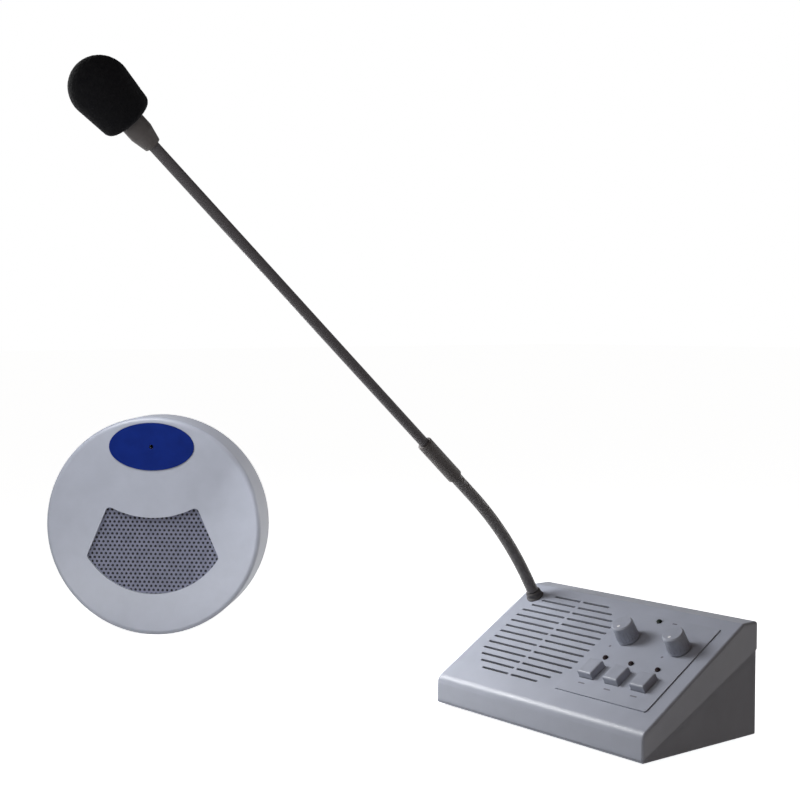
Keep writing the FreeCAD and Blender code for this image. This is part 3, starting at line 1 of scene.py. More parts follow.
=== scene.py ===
# %% [markdown]
# # A teller window intercom
# A bank clerk's desk console with a slotted loudspeaker grille, three keys and two volume
# knobs. A long gooseneck microphone stands on it, and a round loudspeaker for the customer's
# side stands beside it. The solids come from a CAD model. This lesson gives them their looks:
# the camera first, then the finishes, then the pieces that need finer meshes than a CAD model
# should carry, and last the floor and the light.

# %% Load the fixed frame
import json
import math

import bmesh
import bpy
from mathutils import Matrix, Vector, noise


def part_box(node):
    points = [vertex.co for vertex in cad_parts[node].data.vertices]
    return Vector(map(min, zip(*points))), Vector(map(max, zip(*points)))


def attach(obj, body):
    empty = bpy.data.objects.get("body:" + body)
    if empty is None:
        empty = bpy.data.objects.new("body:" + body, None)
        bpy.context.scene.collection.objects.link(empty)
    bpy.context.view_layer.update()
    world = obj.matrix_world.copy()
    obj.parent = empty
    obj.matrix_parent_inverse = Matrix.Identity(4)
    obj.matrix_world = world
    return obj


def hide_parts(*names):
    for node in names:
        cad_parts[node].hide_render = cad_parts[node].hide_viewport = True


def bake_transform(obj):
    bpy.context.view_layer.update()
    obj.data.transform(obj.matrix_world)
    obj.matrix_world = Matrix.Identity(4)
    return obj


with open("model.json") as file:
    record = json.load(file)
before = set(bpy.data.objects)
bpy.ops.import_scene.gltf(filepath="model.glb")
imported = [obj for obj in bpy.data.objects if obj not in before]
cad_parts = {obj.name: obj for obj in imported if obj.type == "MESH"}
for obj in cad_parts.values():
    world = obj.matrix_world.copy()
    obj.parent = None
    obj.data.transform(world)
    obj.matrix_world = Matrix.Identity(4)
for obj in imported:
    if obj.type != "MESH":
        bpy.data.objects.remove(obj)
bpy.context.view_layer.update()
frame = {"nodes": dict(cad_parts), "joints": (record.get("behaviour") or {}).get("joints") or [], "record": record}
cad_nodes = frame["nodes"]
MM = 0.001


# %% Put a thing in the scene
def put_in_scene(name, data):
    """A new object in the scene that shows a mesh, or holds a lamp or camera."""
    holder = bpy.data.objects.new(name, data)
    bpy.context.scene.collection.objects.link(holder)
    return holder


print("objects can be added")

# %% [markdown]
# ## Where things are
# Two flat faces carry most of the detail: the console's sloping panel and the front of the
# round window unit. A matrix for each turns sizes measured on that face into places in the
# room, so every later piece can be built flat, in millimetres.

# %% A matrix for each face
SLOPE = math.radians(30.6)
PANEL_EDGE = Vector((0, -43.85, 15.8))
WINDOW_TURN = math.radians(44.85)
WINDOW_CENTRE = Vector((-365.0, -53.7, 75.5))
WINDOW_THICK = 30.5

scale_to_metres = Matrix.Scale(MM, 4)
on_panel = scale_to_metres @ Matrix.Translation(PANEL_EDGE) @ Matrix.Rotation(SLOPE, 4, "X")
upright = Matrix.Rotation(math.radians(90), 4, "X")
on_window = (
    scale_to_metres
    @ Matrix.Translation(WINDOW_CENTRE)
    @ Matrix.Rotation(WINDOW_TURN, 4, "Z")
    @ upright
)
panel_way = (on_panel.to_3x3() @ Vector((0, 0, 1))).normalized()
window_way = (on_window.to_3x3() @ Vector((0, 0, 1))).normalized()
print("the panel faces", [round(c, 3) for c in panel_way])
print("the window unit faces", [round(c, 3) for c in window_way])

# %% [markdown]
# ## The camera
# It stands a little above the desk, to the right of the console, and looks almost level. A
# lens a bit longer than normal keeps the two units in proportion.

# %% Set up the camera
CAMERA_PLACE = Vector((562.7, -585.15, 216.0)) * MM
CAMERA_TURN = math.radians(-51.20)
CAMERA_DIP = math.radians(2.98)
LENS, SENSOR_WIDTH = 67.5, 36.0

camera = put_in_scene("camera", bpy.data.cameras.new("camera"))
camera.location = CAMERA_PLACE
view_line = Vector(
    (
        math.sin(CAMERA_TURN) * math.cos(CAMERA_DIP),
        math.cos(CAMERA_TURN) * math.cos(CAMERA_DIP),
        -math.sin(CAMERA_DIP),
    )
)
camera.rotation_euler = view_line.to_track_quat("-Z", "Y").to_euler()
camera.data.lens = LENS
camera.data.sensor_width = SENSOR_WIDTH
camera.data.clip_start = 0.01
camera.data.clip_end = 50
bpy.context.scene.camera = camera
bpy.context.scene.view_settings.view_transform = "Standard"
print("camera looks along", [round(c, 3) for c in view_line])

# %% [markdown]
# ## Small tools for finishes
# Every finish is a small network of nodes. The first tools add a node, fill its sockets and
# join two nodes. The next turn a grey pattern into a colour, a number or a dent. Patterns
# are measured on the object itself, so a grain of half a millimetre stays half a millimetre,
# and it moves with the piece.


# %% Add, fill and join nodes
def fill(tree, node, **sockets):
    """Fill a node's sockets. Each takes a plain value, or another node's output to link."""
    for name, value in sockets.items():
        socket = node.inputs[name.replace("_", " ")]
        if isinstance(value, bpy.types.NodeSocket):
            tree.links.new(value, socket)
        else:
            socket.default_value = value
    return node


def add_node(tree, kind, settings=None, **sockets):
    """Add a node with its settings, and fill its sockets."""
    node = tree.nodes.new(kind)
    for name, value in (settings or {}).items():
        setattr(node, name, value)
    return fill(tree, node, **sockets)


def combined(tree, operation, first, second):
    """Two numbers joined by an operation such as MULTIPLY or MAXIMUM."""
    node = add_node(tree, "ShaderNodeMath", {"operation": operation})
    tree.links.new(first, node.inputs[0])
    tree.links.new(second, node.inputs[1])
    return node.outputs[0]


def mixed(tree, share, first, second):
    """The first shader where the share is 0, and the second where it is 1."""
    node = add_node(tree, "ShaderNodeMixShader", Fac=share)
    tree.links.new(first.outputs[0], node.inputs[1])
    tree.links.new(second.outputs[0], node.inputs[2])
    return node


def new_finish(name):
    """A new finish, its network of nodes and its shader."""
    finish = bpy.data.materials.new(name)
    finish.use_nodes = True
    return finish, finish.node_tree, finish.node_tree.nodes["Principled BSDF"]


print("node tools ready")

# %% Colour, spread and dent a pattern
NOISE_LOW, NOISE_HIGH = 0.3, 0.7  # soft noise hardly leaves this range


def coloured(tree, pattern, *stops):
    """Turn a pattern of 0 to 1 into colours. Each stop is a share and a colour."""
    ramp = add_node(tree, "ShaderNodeValToRGB", Fac=pattern)
    elements = ramp.color_ramp.elements
    while len(elements) < len(stops):
        elements.new(0.5)
    for element, (share, colour) in zip(elements, stops):
        element.position = share
        element.color = (*colour, 1)
    return ramp.outputs["Color"]


def spread(tree, pattern, low, high):
    """Turn noise into numbers from low to high."""
    node = add_node(tree, "ShaderNodeMapRange", Value=pattern, From_Min=NOISE_LOW,
                    From_Max=NOISE_HIGH, To_Min=low, To_Max=high)
    return node.outputs["Result"]


def blotches(tree, size, stretch=(1, 1, 1), detail=3.0):
    """Soft random blotches of a size in millimetres, longer where a stretch is above 1."""
    place = add_node(tree, "ShaderNodeTexCoord").outputs["Object"]
    scale = [1 / (size * MM * part) for part in stretch]
    place = add_node(tree, "ShaderNodeMapping", Vector=place, Scale=scale).outputs["Vector"]
    pattern = add_node(tree, "ShaderNodeTexNoise", Vector=place, Scale=1.0, Detail=detail)
    return pattern.outputs["Fac"]


def dented(tree, pattern, depth):
    """Press a pattern into the surface, to a depth in millimetres."""
    bump = add_node(tree, "ShaderNodeBump", Height=pattern, Distance=depth * MM, Strength=1.0)
    return bump.outputs["Normal"]


print("pattern tools ready")

# %% [markdown]
# ## Finishes with a grain
# Most parts are moulded plastic, painted metal or rubber. They differ in colour, in how
# rough they are and in the size of their grain, but they are made alike: slow blotches vary
# the colour and the shine a little, and a fine grain dents the surface. So one function
# serves them all. Its sizes are those of a blotch and of a grain, and the grain's depth.


# %% One function for grained finishes
def grained(name, pale, dark, sizes, rough, stretch=(1, 1, 1), **constants):
    """A finish with blotches between two colours and a fine grain pressed into it."""
    finish, tree, shader = new_finish(name)
    blotch, grain, depth = sizes
    slow = blotches(tree, blotch, stretch)
    fine = blotches(tree, grain, stretch, detail=2.0)
    fill(
        tree,
        shader,
        Base_Color=coloured(tree, slow, (NOISE_LOW, dark), (NOISE_HIGH, pale)),
        Roughness=spread(tree, slow, *rough),
        Normal=dented(tree, fine, depth),
        **constants,
    )
    return finish


def shade(colour, share):
    """The same colour, darker or paler by a share."""
    return tuple(min(1.0, part * share) for part in colour)


def grey(level):
    """A plain grey, from 0 to 1."""
    return (level, level, level)


finishes = {}
print("grained finishes can be made")

# %% Silver plastic
SILVER = (0.35, 0.375, 0.445)
SATIN = (0.45, 0.55)
DULL = {"Specular_IOR_Level": 0.3}


def silver(part, pale, dark, sizes, rough, **constants):
    """Silver plastic for a part, between two shares of the same silver."""
    colours = shade(SILVER, pale), shade(SILVER, dark)
    return grained(f"silver_{part}", *colours, sizes, rough, **constants)


finishes |= {
    "housing": silver("housing", 1.03, 0.96, (12, 0.35, 0.02), (0.36, 0.44)),
    "base": silver("base", 0.96, 0.88, (15, 0.35, 0.02), SATIN, **DULL),
    "plate": silver("plate", 1.0, 0.94, (9, 0.3, 0.02), (0.40, 0.47)),
    "key": silver("key", 0.98, 0.90, (4, 0.25, 0.015), (0.34, 0.42)),
    "knob": silver("knob", 0.98, 0.88, (4, 0.25, 0.015), (0.34, 0.42)),
    "back": silver("back", 0.92, 0.84, (14, 0.4, 0.03), SATIN, **DULL),
}
print(len(finishes), "silver finishes")

# %% Dark paint on the neck
DARK_GREY = (0.075, 0.072, 0.074)
finishes |= {
    "bush": grained("dark_bush", shade(DARK_GREY, 1.1), shade(DARK_GREY, 0.9),
                    (3, 0.2, 0.01), SATIN, **DULL),
    # The hose takes the same dark grey about twice as pale: painted light that makes up for the shade the lamps
    # leave on the neck.
    "neck": grained("dark_neck", shade(DARK_GREY, 2.05), shade(DARK_GREY, 1.65),
                    (4, 0.2, 0.01), SATIN, **DULL),
    "ferrule": grained("dark_ferrule", (0.085, 0.076, 0.075), (0.07, 0.062, 0.061),
                       (4, 0.2, 0.01), SATIN, **DULL),
    "tube": grained("dark_tube", (0.09, 0.083, 0.09), (0.073, 0.068, 0.074),
                    (6, 0.2, 0.01), SATIN, **DULL),
}
print(len(finishes), "finishes so far")

# %% Rubber, sheet and badge
finishes |= {
    "foot": grained("foot_rubber", grey(0.03), grey(0.018), (3, 0.3, 0.04), (0.75, 0.9)),
    "boot": grained("boot_rubber", grey(0.03), grey(0.018), (3, 0.3, 0.04), (0.7, 0.85)),
    "pad": grained("pad_foam_rubber", grey(0.05), grey(0.025), (2, 0.6, 0.15), (0.85, 0.95)),
    "mesh": grained("grey_perforated_sheet", (0.17, 0.18, 0.25), (0.13, 0.14, 0.20),
                    (6, 0.2, 0.01), SATIN, **DULL),
    "badge": grained("blue_badge", (0.004, 0.018, 0.16), (0.003, 0.014, 0.13),
                     (8, 0.3, 0.004), (0.35, 0.45), Specular_IOR_Level=0.08),
}
print(len(finishes), "finishes so far")

# %% Lamps and small plastic parts
finishes |= {
    "lamp_red": grained("dark_red_lamp", (0.018, 0.006, 0.007), (0.012, 0.004, 0.005),
                        (1.5, 0.3, 0.004), (0.25, 0.35), **DULL),
    "lamp_green": grained("dark_green_lamp", (0.006, 0.014, 0.008), (0.004, 0.009, 0.005),
                          (1.5, 0.3, 0.004), (0.25, 0.35), **DULL),
    "switch": grained("switch_plastic", (0.035, 0.035, 0.037), (0.025, 0.025, 0.027),
                      (4, 0.2, 0.01), (0.3, 0.4)),
    "socket": grained("socket_plastic", (0.022, 0.022, 0.024), (0.014, 0.014, 0.015),
                      (4, 0.2, 0.01), (0.28, 0.4)),
    "capacitor": grained("capacitor_sleeve", (0.03, 0.03, 0.09), (0.02, 0.02, 0.06),
                         (4, 0.2, 0.01), (0.25, 0.35)),
    "basket": grained("basket_paint", (0.05, 0.05, 0.052), (0.035, 0.035, 0.037),
                      (10, 0.3, 0.02), (0.4, 0.5), Metallic=0.3),
    "magnet": grained("magnet_ferrite", (0.07, 0.07, 0.072), (0.045, 0.045, 0.047),
                      (4, 0.4, 0.04), (0.55, 0.7), Metallic=0.2),
}
print(len(finishes), "finishes so far")

# %% [markdown]
# ## Bare metal
# Turned and pressed metal shows fine lines along one direction. The same blotches do for
# that, drawn out many times longer than they are wide. Plated and brass parts are too small
# to show any lines.

# %% Bare metal finishes
LINES = (1, 25, 1)


def metal(name, pale, dark, sizes, rough, stretch=(1, 1, 1)):
    """Bare metal, with lines where it is given a stretch."""
    return grained(name, pale, dark, sizes, rough, stretch, Metallic=1.0)


finishes |= {
    "shaft": metal("turned_steel", (0.62, 0.62, 0.60), (0.5, 0.5, 0.49),
                   (0.6, 0.1, 0.008), (0.22, 0.34), LINES),
    "pot": metal("pressed_steel", (0.58, 0.58, 0.56), (0.48, 0.48, 0.47),
                 (1, 0.15, 0.008), (0.28, 0.4), LINES),
    "clamp": metal("black_zinc_clamp", (0.13, 0.13, 0.14), (0.09, 0.09, 0.10),
                   (1, 0.15, 0.008), (0.35, 0.45), LINES),
    "capsule": metal("capsule_can", grey(0.60), grey(0.52), (1, 0.12, 0.008), (0.25, 0.35), LINES),
    "heat_sink": metal("extruded_aluminium", (0.66, 0.66, 0.67), (0.56, 0.56, 0.57),
                       (1, 0.15, 0.01), (0.3, 0.42), LINES),
    "screw": metal("black_zinc_screw", (0.16, 0.16, 0.17), (0.11, 0.11, 0.12),
                   (0.8, 0.12, 0.008), (0.35, 0.45)),
    "nut": metal("brass_nut", (0.62, 0.50, 0.22), (0.5, 0.39, 0.16),
                 (0.8, 0.12, 0.008), (0.24, 0.36)),
}
print(len(finishes), "finishes so far")

# %% [markdown]
# ## Cloth, paper and circuit board
# The cloth behind the slots is woven, so two sets of waves cross. The loudspeaker's cone is
# pressed paper with long fibres. A circuit board is green lacquer over copper, which shows
# as straight paler tracks. The borders between straight-sided cells stand in for them.

# %% Woven cloth
WAVE_LENGTH = 0.314  # from one wave to the next in a wave texture of scale 1


def woven(name, pale, dark, thread):
    """Cloth with crossed threads of a width in millimetres."""
    finish, tree, shader = new_finish(name)
    place = add_node(tree, "ShaderNodeTexCoord").outputs["Object"]
    lengthwise, crosswise = (
        add_node(tree, "ShaderNodeTexWave", {"bands_direction": way}, Vector=place,
                 Scale=WAVE_LENGTH / (thread * MM), Distortion=1.5).outputs["Fac"]
        for way in "XY"
    )
    weave = combined(tree, "MULTIPLY", lengthwise, crosswise)
    fill(
        tree,
        shader,
        Base_Color=coloured(tree, weave, (0.1, dark), (0.8, pale)),
        Normal=dented(tree, weave, thread / 3),
        Roughness=0.95,
        Sheen_Weight=0.2,
    )
    return finish


finishes["cloth"] = woven("speaker_cloth", (0.03, 0.03, 0.034), (0.008, 0.008, 0.009), 0.7)
print("woven cloth")

# %% Pressed paper and circuit board
FIBRES = (6, 1, 1)
finishes["cone"] = grained("paper_cone", (0.055, 0.048, 0.04), (0.03, 0.027, 0.023),
                           (1.2, 0.4, 0.06), (0.85, 0.95), FIBRES)


def tracked(name, lacquer, track, cell):
    """Green lacquer with paler copper tracks, between cells of a size in millimetres."""
    finish, tree, shader = new_finish(name)
    place = add_node(tree, "ShaderNodeTexCoord").outputs["Object"]
    cells = add_node(tree, "ShaderNodeTexVoronoi", {"feature": "DISTANCE_TO_EDGE"},
                     Vector=place, Scale=1 / (cell * MM))
    border = cells.outputs["Distance"]
    fill(
        tree,
        shader,
        Base_Color=coloured(tree, border, (0.04, track), (0.07, lacquer)),
        Normal=dented(tree, border, 0.03),
        Roughness=0.3,
    )
    return finish


finishes["board"] = tracked("green_board", (0.02, 0.11, 0.04), (0.05, 0.2, 0.08), 4)
print(len(finishes), "finishes so far")

# %% [markdown]
# ## Foam, ink and paint
# The windscreen is black open foam, and so is a small felt. Ink marks and white dots help the
# clerk to find the keys and knobs.

# %% Foam, ink and paint
finishes["foam"] = grained("black_foam", (0.008, 0.008, 0.009), (0.003, 0.003, 0.004),
                           (3, 0.6, 0.1), (0.92, 1.0), Specular_IOR_Level=0.1)
ink = grained("grey_ink", (0.17, 0.17, 0.20), (0.12, 0.12, 0.15), (1, 0.2, 0.004), (0.5, 0.6))
white_paint = grained("white_paint", (0.80, 0.80, 0.82), (0.72, 0.72, 0.75),
                      (1, 0.2, 0.004), (0.4, 0.5))
print(len(finishes), "finishes for slots, and two for marks")

# %% [markdown]
# ## Put the finishes on the solids
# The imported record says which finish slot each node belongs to, so one loop dresses them all.

# %% Dress every solid
for entry in frame["record"]["subparts"]:
    solid = cad_nodes[entry["node"]]
    solid.data.materials.clear()
    solid.data.materials.append(finishes[entry["material_slot"]])

# %% [markdown]
# ## A rounder front edge
# The console's front edge is rounder than its solid's. A point on a rounding is fixed by its
# direction and distance from the rounding's centre line. So the points keep their direction,
# and move with the centre line of a larger rounding between the same two flat faces.

# %% The centre line of a rounding
MADE_ROUND, WANTED_ROUND = 3.2, 5.8
WALL_INSIDE = 1.5  # nearer the centre line than this lies the wall's inner face
SLACK = 0.02
front_way = Vector((0, -1, 0))
middle_way = (front_way + panel_way).normalized()


def centre_line(radius):
    """A point on the centre line, at x = 0, in millimetres."""
    return PANEL_EDGE - middle_way * (radius / middle_way.dot(panel_way))


def on_rounding(out):
    """Whether a direction lies between the two faces' own directions."""
    handed = front_way.cross(panel_way).x
    past_front = out.cross(front_way).x * handed
    past_panel = panel_way.cross(out).x * handed
    return past_front < SLACK and past_panel < SLACK


shift = centre_line(WANTED_ROUND) - centre_line(MADE_ROUND)
print("the centre line moves by", [round(c, 2) for c in shift], "mm")

# %% Move the points
skin = put_in_scene("cover_skin", cad_nodes["top_cover"].data.copy())
moved = 0
for point in skin.data.vertices:
    out = point.co / MM - centre_line(MADE_ROUND)
    out.x = 0
    if out.length > WALL_INSIDE and on_rounding(out):
        reach = out.length + WANTED_ROUND - MADE_ROUND
        place = centre_line(WANTED_ROUND) + out.normalized() * reach
        point.co = Vector((point.co.x, place.y * MM, place.z * MM))
        moved += 1
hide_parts("top_cover")
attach(skin, "intercom")
print(moved, "points moved")

# %% [markdown]
# ## The foam windscreen
# A windscreen is open foam: a mass of tiny cells whose walls catch the light. A bump in the
# finish would leave its outline smooth as glass, so the cells are cut into the mesh. The
# CAD solid gives the shape. It is remeshed into small even squares, and each point then
# sinks by how far it lies from the nearest cell wall.

# %% Even squares all over
FOAM_SQUARE = 0.0006


def remeshed(name, source, square):
    """A new object with the shape of another, made of even squares."""
    piece = put_in_scene(name, source.data.copy())
    remesh = piece.modifiers.new("even", "REMESH")
    remesh.mode = "VOXEL"
    remesh.voxel_size = square
    shown = piece.evaluated_get(bpy.context.evaluated_depsgraph_get())
    even = bpy.data.meshes.new_from_object(shown)
    piece.modifiers.clear()
    piece.data = even
    return piece


windscreen = remeshed("windscreen_foam", cad_nodes["foam_windscreen"], FOAM_SQUARE)
windscreen.data.materials.clear()
windscreen.data.materials.append(finishes["foam"])
print("windscreen has", len(windscreen.data.vertices), "points")

# %% Sink the cells
FOAM_CELL = 1.1 * MM
FOAM_DEPTH = 0.35 * MM
for point in windscreen.data.vertices:
    distances, _ = noise.voronoi(point.co / FOAM_CELL)
    to_wall = min(1.0, (distances[1] - distances[0]) * 2)
    point.co -= point.normal * FOAM_DEPTH * to_wall
windscreen.data.shade_smooth()
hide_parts("foam_windscreen")
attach(windscreen, "microphone")
print("cells of", FOAM_CELL, "m sunk by up to", FOAM_DEPTH, "m")

# %% [markdown]
# ## The flexible neck
# The real neck is a steel spiral, wound like a spring from round wire, so its surface is a
# fine thread. The CAD model has eight rigid links with ball joints instead. A hose in nine
# lengths takes their place. Each length goes over one joint, from the middle of one link to
# the middle of the next.

# %% The line of the neck
HOSE_START = 1.4 * MM
HOSE_END = 0.55 * MM
neck_joints = sorted(
    (joint for joint in frame["joints"] if joint["name"].startswith("neck_")),
    key=lambda joint: joint["pos_m"][2],
)
pivots = [Vector(joint["pos_m"]) for joint in neck_joints]
tube_low, tube_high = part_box("neck_upper_tube")
tube_reach = tube_high - tube_low
tube_way = Vector((0, -tube_reach.y, tube_reach.z)).normalized()
middles = [(a + b) / 2 for a, b in zip(pivots, pivots[1:])]
cuts = [pivots[0] - panel_way * HOSE_START, *middles, pivots[-1] + tube_way * HOSE_END]
print(len(pivots), "joints, so", len(cuts) - 1, "lengths of hose")

# %% [markdown]
# A smooth line through the joints needs a direction at each point. Each length of hose runs
# on a curve that starts and ends along the links' own directions, so the lengths meet
# without a kink. The thread runs on from one length to the next.

# %% The wound wire
HOSE_RADIUS = 3.4 * MM
WIRE_PITCH = 1.3 * MM
WIRE_DEPTH = 0.32 * MM


def along_neck(start, bend, end, steps):
    """Points on a smooth curve that starts and ends on a line through the bend."""
    for index in range(steps + 1):
        t = index / steps
        point = start * (1 - t) ** 2 + bend * 2 * t * (1 - t) + end * t**2
        way = (bend - start) * (1 - t) + (end - bend) * t
        yield point, way.normalized()


def wire_radius(run, turn):
    """The hose's radius, as far along and as far round as given: a wound round wire."""
    phase = (run / WIRE_PITCH - turn) % 1.0
    return HOSE_RADIUS - WIRE_DEPTH * (1 - math.sqrt(max(0.0, 1 - (2 * phase - 1) ** 2)))


print("thread of", WIRE_PITCH, "m")

# %% One length of hose
RING_STEP = 0.16 * MM
AROUND = 40


def hose_ring(mesh, centre, way, run):
    """A ring of points round the hose, at a distance along it."""
    side = Vector((1, 0, 0))
    up = way.cross(side)
    ring = []
    for corner in range(AROUND):
        turn = corner / AROUND
        out = side * math.cos(2 * math.pi * turn) + up * math.sin(2 * math.pi * turn)
        ring.append(mesh.verts.new(centre + out * wire_radius(run, turn)))
    return ring


def hose_mesh(name, start, bend, end, run):
    """One closed length of wound hose. Returns its mesh and where its thread ends."""
    mesh = bmesh.new()
    length = (bend - start).length + (end - bend).length
    steps = max(8, round(length / RING_STEP))
    rings = [
        hose_ring(mesh, centre, way, run + length * index / steps)
        for index, (centre, way) in enumerate(along_neck(start, bend, end, steps))
    ]
    for lower, upper in zip(rings, rings[1:]):
        for corner in range(AROUND):
            after = (corner + 1) % AROUND
            mesh.faces.new((lower[corner], lower[after], upper[after], upper[corner]))
    mesh.faces.new(reversed(rings[0]))
    mesh.faces.new(rings[-1])
    bmesh.ops.recalc_face_normals(mesh, faces=mesh.faces)
    made = bpy.data.meshes.new(name)
    mesh.to_mesh(made)
    mesh.free()
    made.shade_smooth()
    return made, run + length


print("rings of", AROUND, "points")

# %% Build the hose
hose_run = 0.0
for number, (joint, pivot) in enumerate(zip(neck_joints, pivots), 1):
    start, end = cuts[number - 1], cuts[number]
    made, hose_run = hose_mesh(f"neck_hose_{number}", start, pivot, end, hose_run)
    made.materials.append(finishes["neck"])
    hose = put_in_scene(f"neck_hose_{number}", made)
    if number < len(pivots):
        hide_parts(f"neck_link_{number}")
    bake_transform(hose)
print("hose is", round(hose_run, 4), "m long")

# %% [markdown]
# ## The perforated sheet
# Behind the fan-shaped opening of the window unit lies a thin steel sheet with some hundreds
# of round holes in staggered rows. Each hole sits in a six-sided tile, and the tiles share
# their corners, so they weld into one sheet. Real holes beat a painted pattern: they have
# depth. A thin dark cloth lies close behind the sheet, as in the console.

# %% Is a spot behind the opening?
LOW_ARC_CENTRE, LOW_ARC_RADIUS = Vector((0, 8.0)), 55.0
HIGH_ARC_CENTRE, HIGH_ARC_RADIUS = Vector((0, 70.7)), 64.8
SIDE_FOOT, SIDE_HEAD = Vector((46.6, -21.2)), Vector((31.4, 14.0))
FAN_REACH = 60


def behind_opening(spot, margin):
    """Whether a spot lies in the fan, or outside it by less than a margin."""
    side = SIDE_HEAD - SIDE_FOOT
    out = (abs(spot.x) - SIDE_FOOT.x) * side.y - (spot.y - SIDE_FOOT.y) * side.x
    return (
        (spot - LOW_ARC_CENTRE).length < LOW_ARC_RADIUS + margin
        and (spot - HIGH_ARC_CENTRE).length > HIGH_ARC_RADIUS - margin
        and out / side.length < margin
    )


def spots_behind_opening(column_step, row_step, stagger, margin):
    """The spots of a grid that are behind the opening. Every other row may be shifted."""
    rows, columns = (math.ceil(FAN_REACH / step) for step in (row_step, column_step))
    for row in range(-rows, rows + 1):
        for column in range(-columns, columns + 1):
            spot = Vector(((column + row % 2 * stagger) * column_step, row * row_step))
            if behind_opening(spot, margin):
                yield spot


print("the middle is behind the opening:", behind_opening(Vector((0, -20)), 0))

# %% Sheets that lie on the window unit
WELD = 0.02


def thick_sheet(name, mesh, thick, slot):
    """Make a piece of a flat mesh on the window unit's face, thickened towards the rear."""
    bmesh.ops.remove_doubles(mesh, verts=mesh.verts, dist=WELD)
    bmesh.ops.recalc_face_normals(mesh, faces=mesh.faces)
    if sum(face.normal.z for face in mesh.faces) < 0:
        bmesh.ops.reverse_faces(mesh, faces=mesh.faces)
    bmesh.ops.solidify(mesh, geom=mesh.faces, thickness=thick)
    mesh.transform(on_window)
    made = bpy.data.meshes.new(name)
    mesh.to_mesh(made)
    mesh.free()
    made.materials.append(finishes[slot])
    piece = put_in_scene(name, made)
    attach(piece, "intercom")
    return piece


print("points closer than", WELD, "mm are welded")

# %% The sheet with its holes
HOLE_PITCH = 3.2
HOLE_RADIUS = 0.95
SHEET_THICK = 0.6
SHEET_MARGIN = 1.6
ROW_SHARE = math.sqrt(0.75)
sheet_front = WINDOW_THICK - 2.2


def tile(mesh, centre):
    """A six-sided tile with a twelve-sided hole, all flat."""
    reach = HOLE_PITCH / math.sqrt(3)
    inner, outer = [], []
    for corner in range(12):
        angle = math.radians(30 * corner)
        away = Vector((math.sin(angle), math.cos(angle)))
        edge = reach if corner % 2 == 0 else reach * ROW_SHARE
        inner.append(mesh.verts.new((*(centre + away * HOLE_RADIUS), sheet_front)))
        outer.append(mesh.verts.new((*(centre + away * edge), sheet_front)))
    for corner in range(12):
        after = (corner + 1) % 12
        mesh.faces.new((inner[corner], outer[corner], outer[after], inner[after]))


sheet = bmesh.new()
holes = list(spots_behind_opening(HOLE_PITCH, HOLE_PITCH * ROW_SHARE, 0.5, SHEET_MARGIN))
for spot in holes:
    tile(sheet, spot)
grille = thick_sheet("perforated_sheet", sheet, SHEET_THICK, "mesh")
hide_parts("window_grille")
print(len(holes), "holes;", len(grille.data.polygons), "faces")

# %% The cloth behind it
CLOTH_THICK = 0.15
CLOTH_GAP = 0.02
CLOTH_SQUARE = 1.6
CLOTH_MARGIN = 1.2
cloth_front = sheet_front - SHEET_THICK - CLOTH_GAP
half = CLOTH_SQUARE / 2
corners = [(-half, -half), (half, -half), (half, half), (-half, half)]

cloth = bmesh.new()
for spot in spots_behind_opening(CLOTH_SQUARE, CLOTH_SQUARE, 0, CLOTH_MARGIN):
    cloth.faces.new([cloth.verts.new((spot.x + a, spot.y + b, cloth_front)) for a, b in corners])
backing = thick_sheet("window_dust_cloth", cloth, CLOTH_THICK, "cloth")
print("the cloth has", len(backing.data.polygons), "faces")

# %% [markdown]
# ## Small marks and the inlet's pin
# Fine ink marks stand beside the keys and knobs. Each is a very thin flat piece on the
# panel. A felt behind the badge's small hole hides the microphone. The power inlet has a pin
# in its middle, which the plug's hole slides over.


# %% A flat mark with round ends
def flat_mark(name, face, place, size, finish, body):
    """A thin piece on a face, given by its place and its width, length and thickness."""
    across, along, rise = place
    width, length, thick = size
    radius = min(width, length) / 2
    mesh = bmesh.new()
    outline = []
    for corner in range(24):
        angle = 2 * math.pi * (corner + 0.5) / 24
        side = Vector((math.cos(angle), math.sin(angle)))
        end = Vector((math.copysign(width / 2 - radius, side.x),
                      math.copysign(length / 2 - radius, side.y)))
        spot = Vector((across, along)) + side * radius + end
        outline.append(mesh.verts.new((*spot, rise)))
    mesh.faces.new(outline)
    top = bmesh.ops.extrude_face_region(mesh, geom=mesh.faces[:])
    raised = [item for item in top["geom"] if isinstance(item, bmesh.types.BMVert)]
    bmesh.ops.translate(mesh, verts=raised, vec=(0, 0, thick))
    bmesh.ops.recalc_face_normals(mesh, faces=mesh.faces)
    mesh.transform(face)
    made = bpy.data.meshes.new(name)
    mesh.to_mesh(made)
    mesh.free()
    made.materials.append(finish)
    piece = put_in_scene(name, made)
    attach(piece, body)
    return piece


print("marks can be made")

# %% Place the marks
PLATE_TOP = 0.6
INK_THICK = 0.03
KEY_MARK_ROW = 22.0
marks = [
    ("key_mark_left", 17.6, KEY_MARK_ROW, 4.6, 0.9),
    ("key_mark_middle", 35.8, KEY_MARK_ROW, 4.6, 0.9),
    ("key_mark_right", 54.0, KEY_MARK_ROW, 4.6, 0.9),
    ("knob_mark_left", 13.6, 52.0, 1.5, 1.5),
    ("knob_mark_right", 49.8, 52.4, 1.5, 1.5),
    ("lamp_mark", 39.5, 77.6, 3.2, 0.9),
]
for name, across, along, width, length in marks:
    flat_mark(name, on_panel, (across, along, PLATE_TOP), (width, length, INK_THICK), ink,
              "intercom")
print(len(marks), "ink marks")

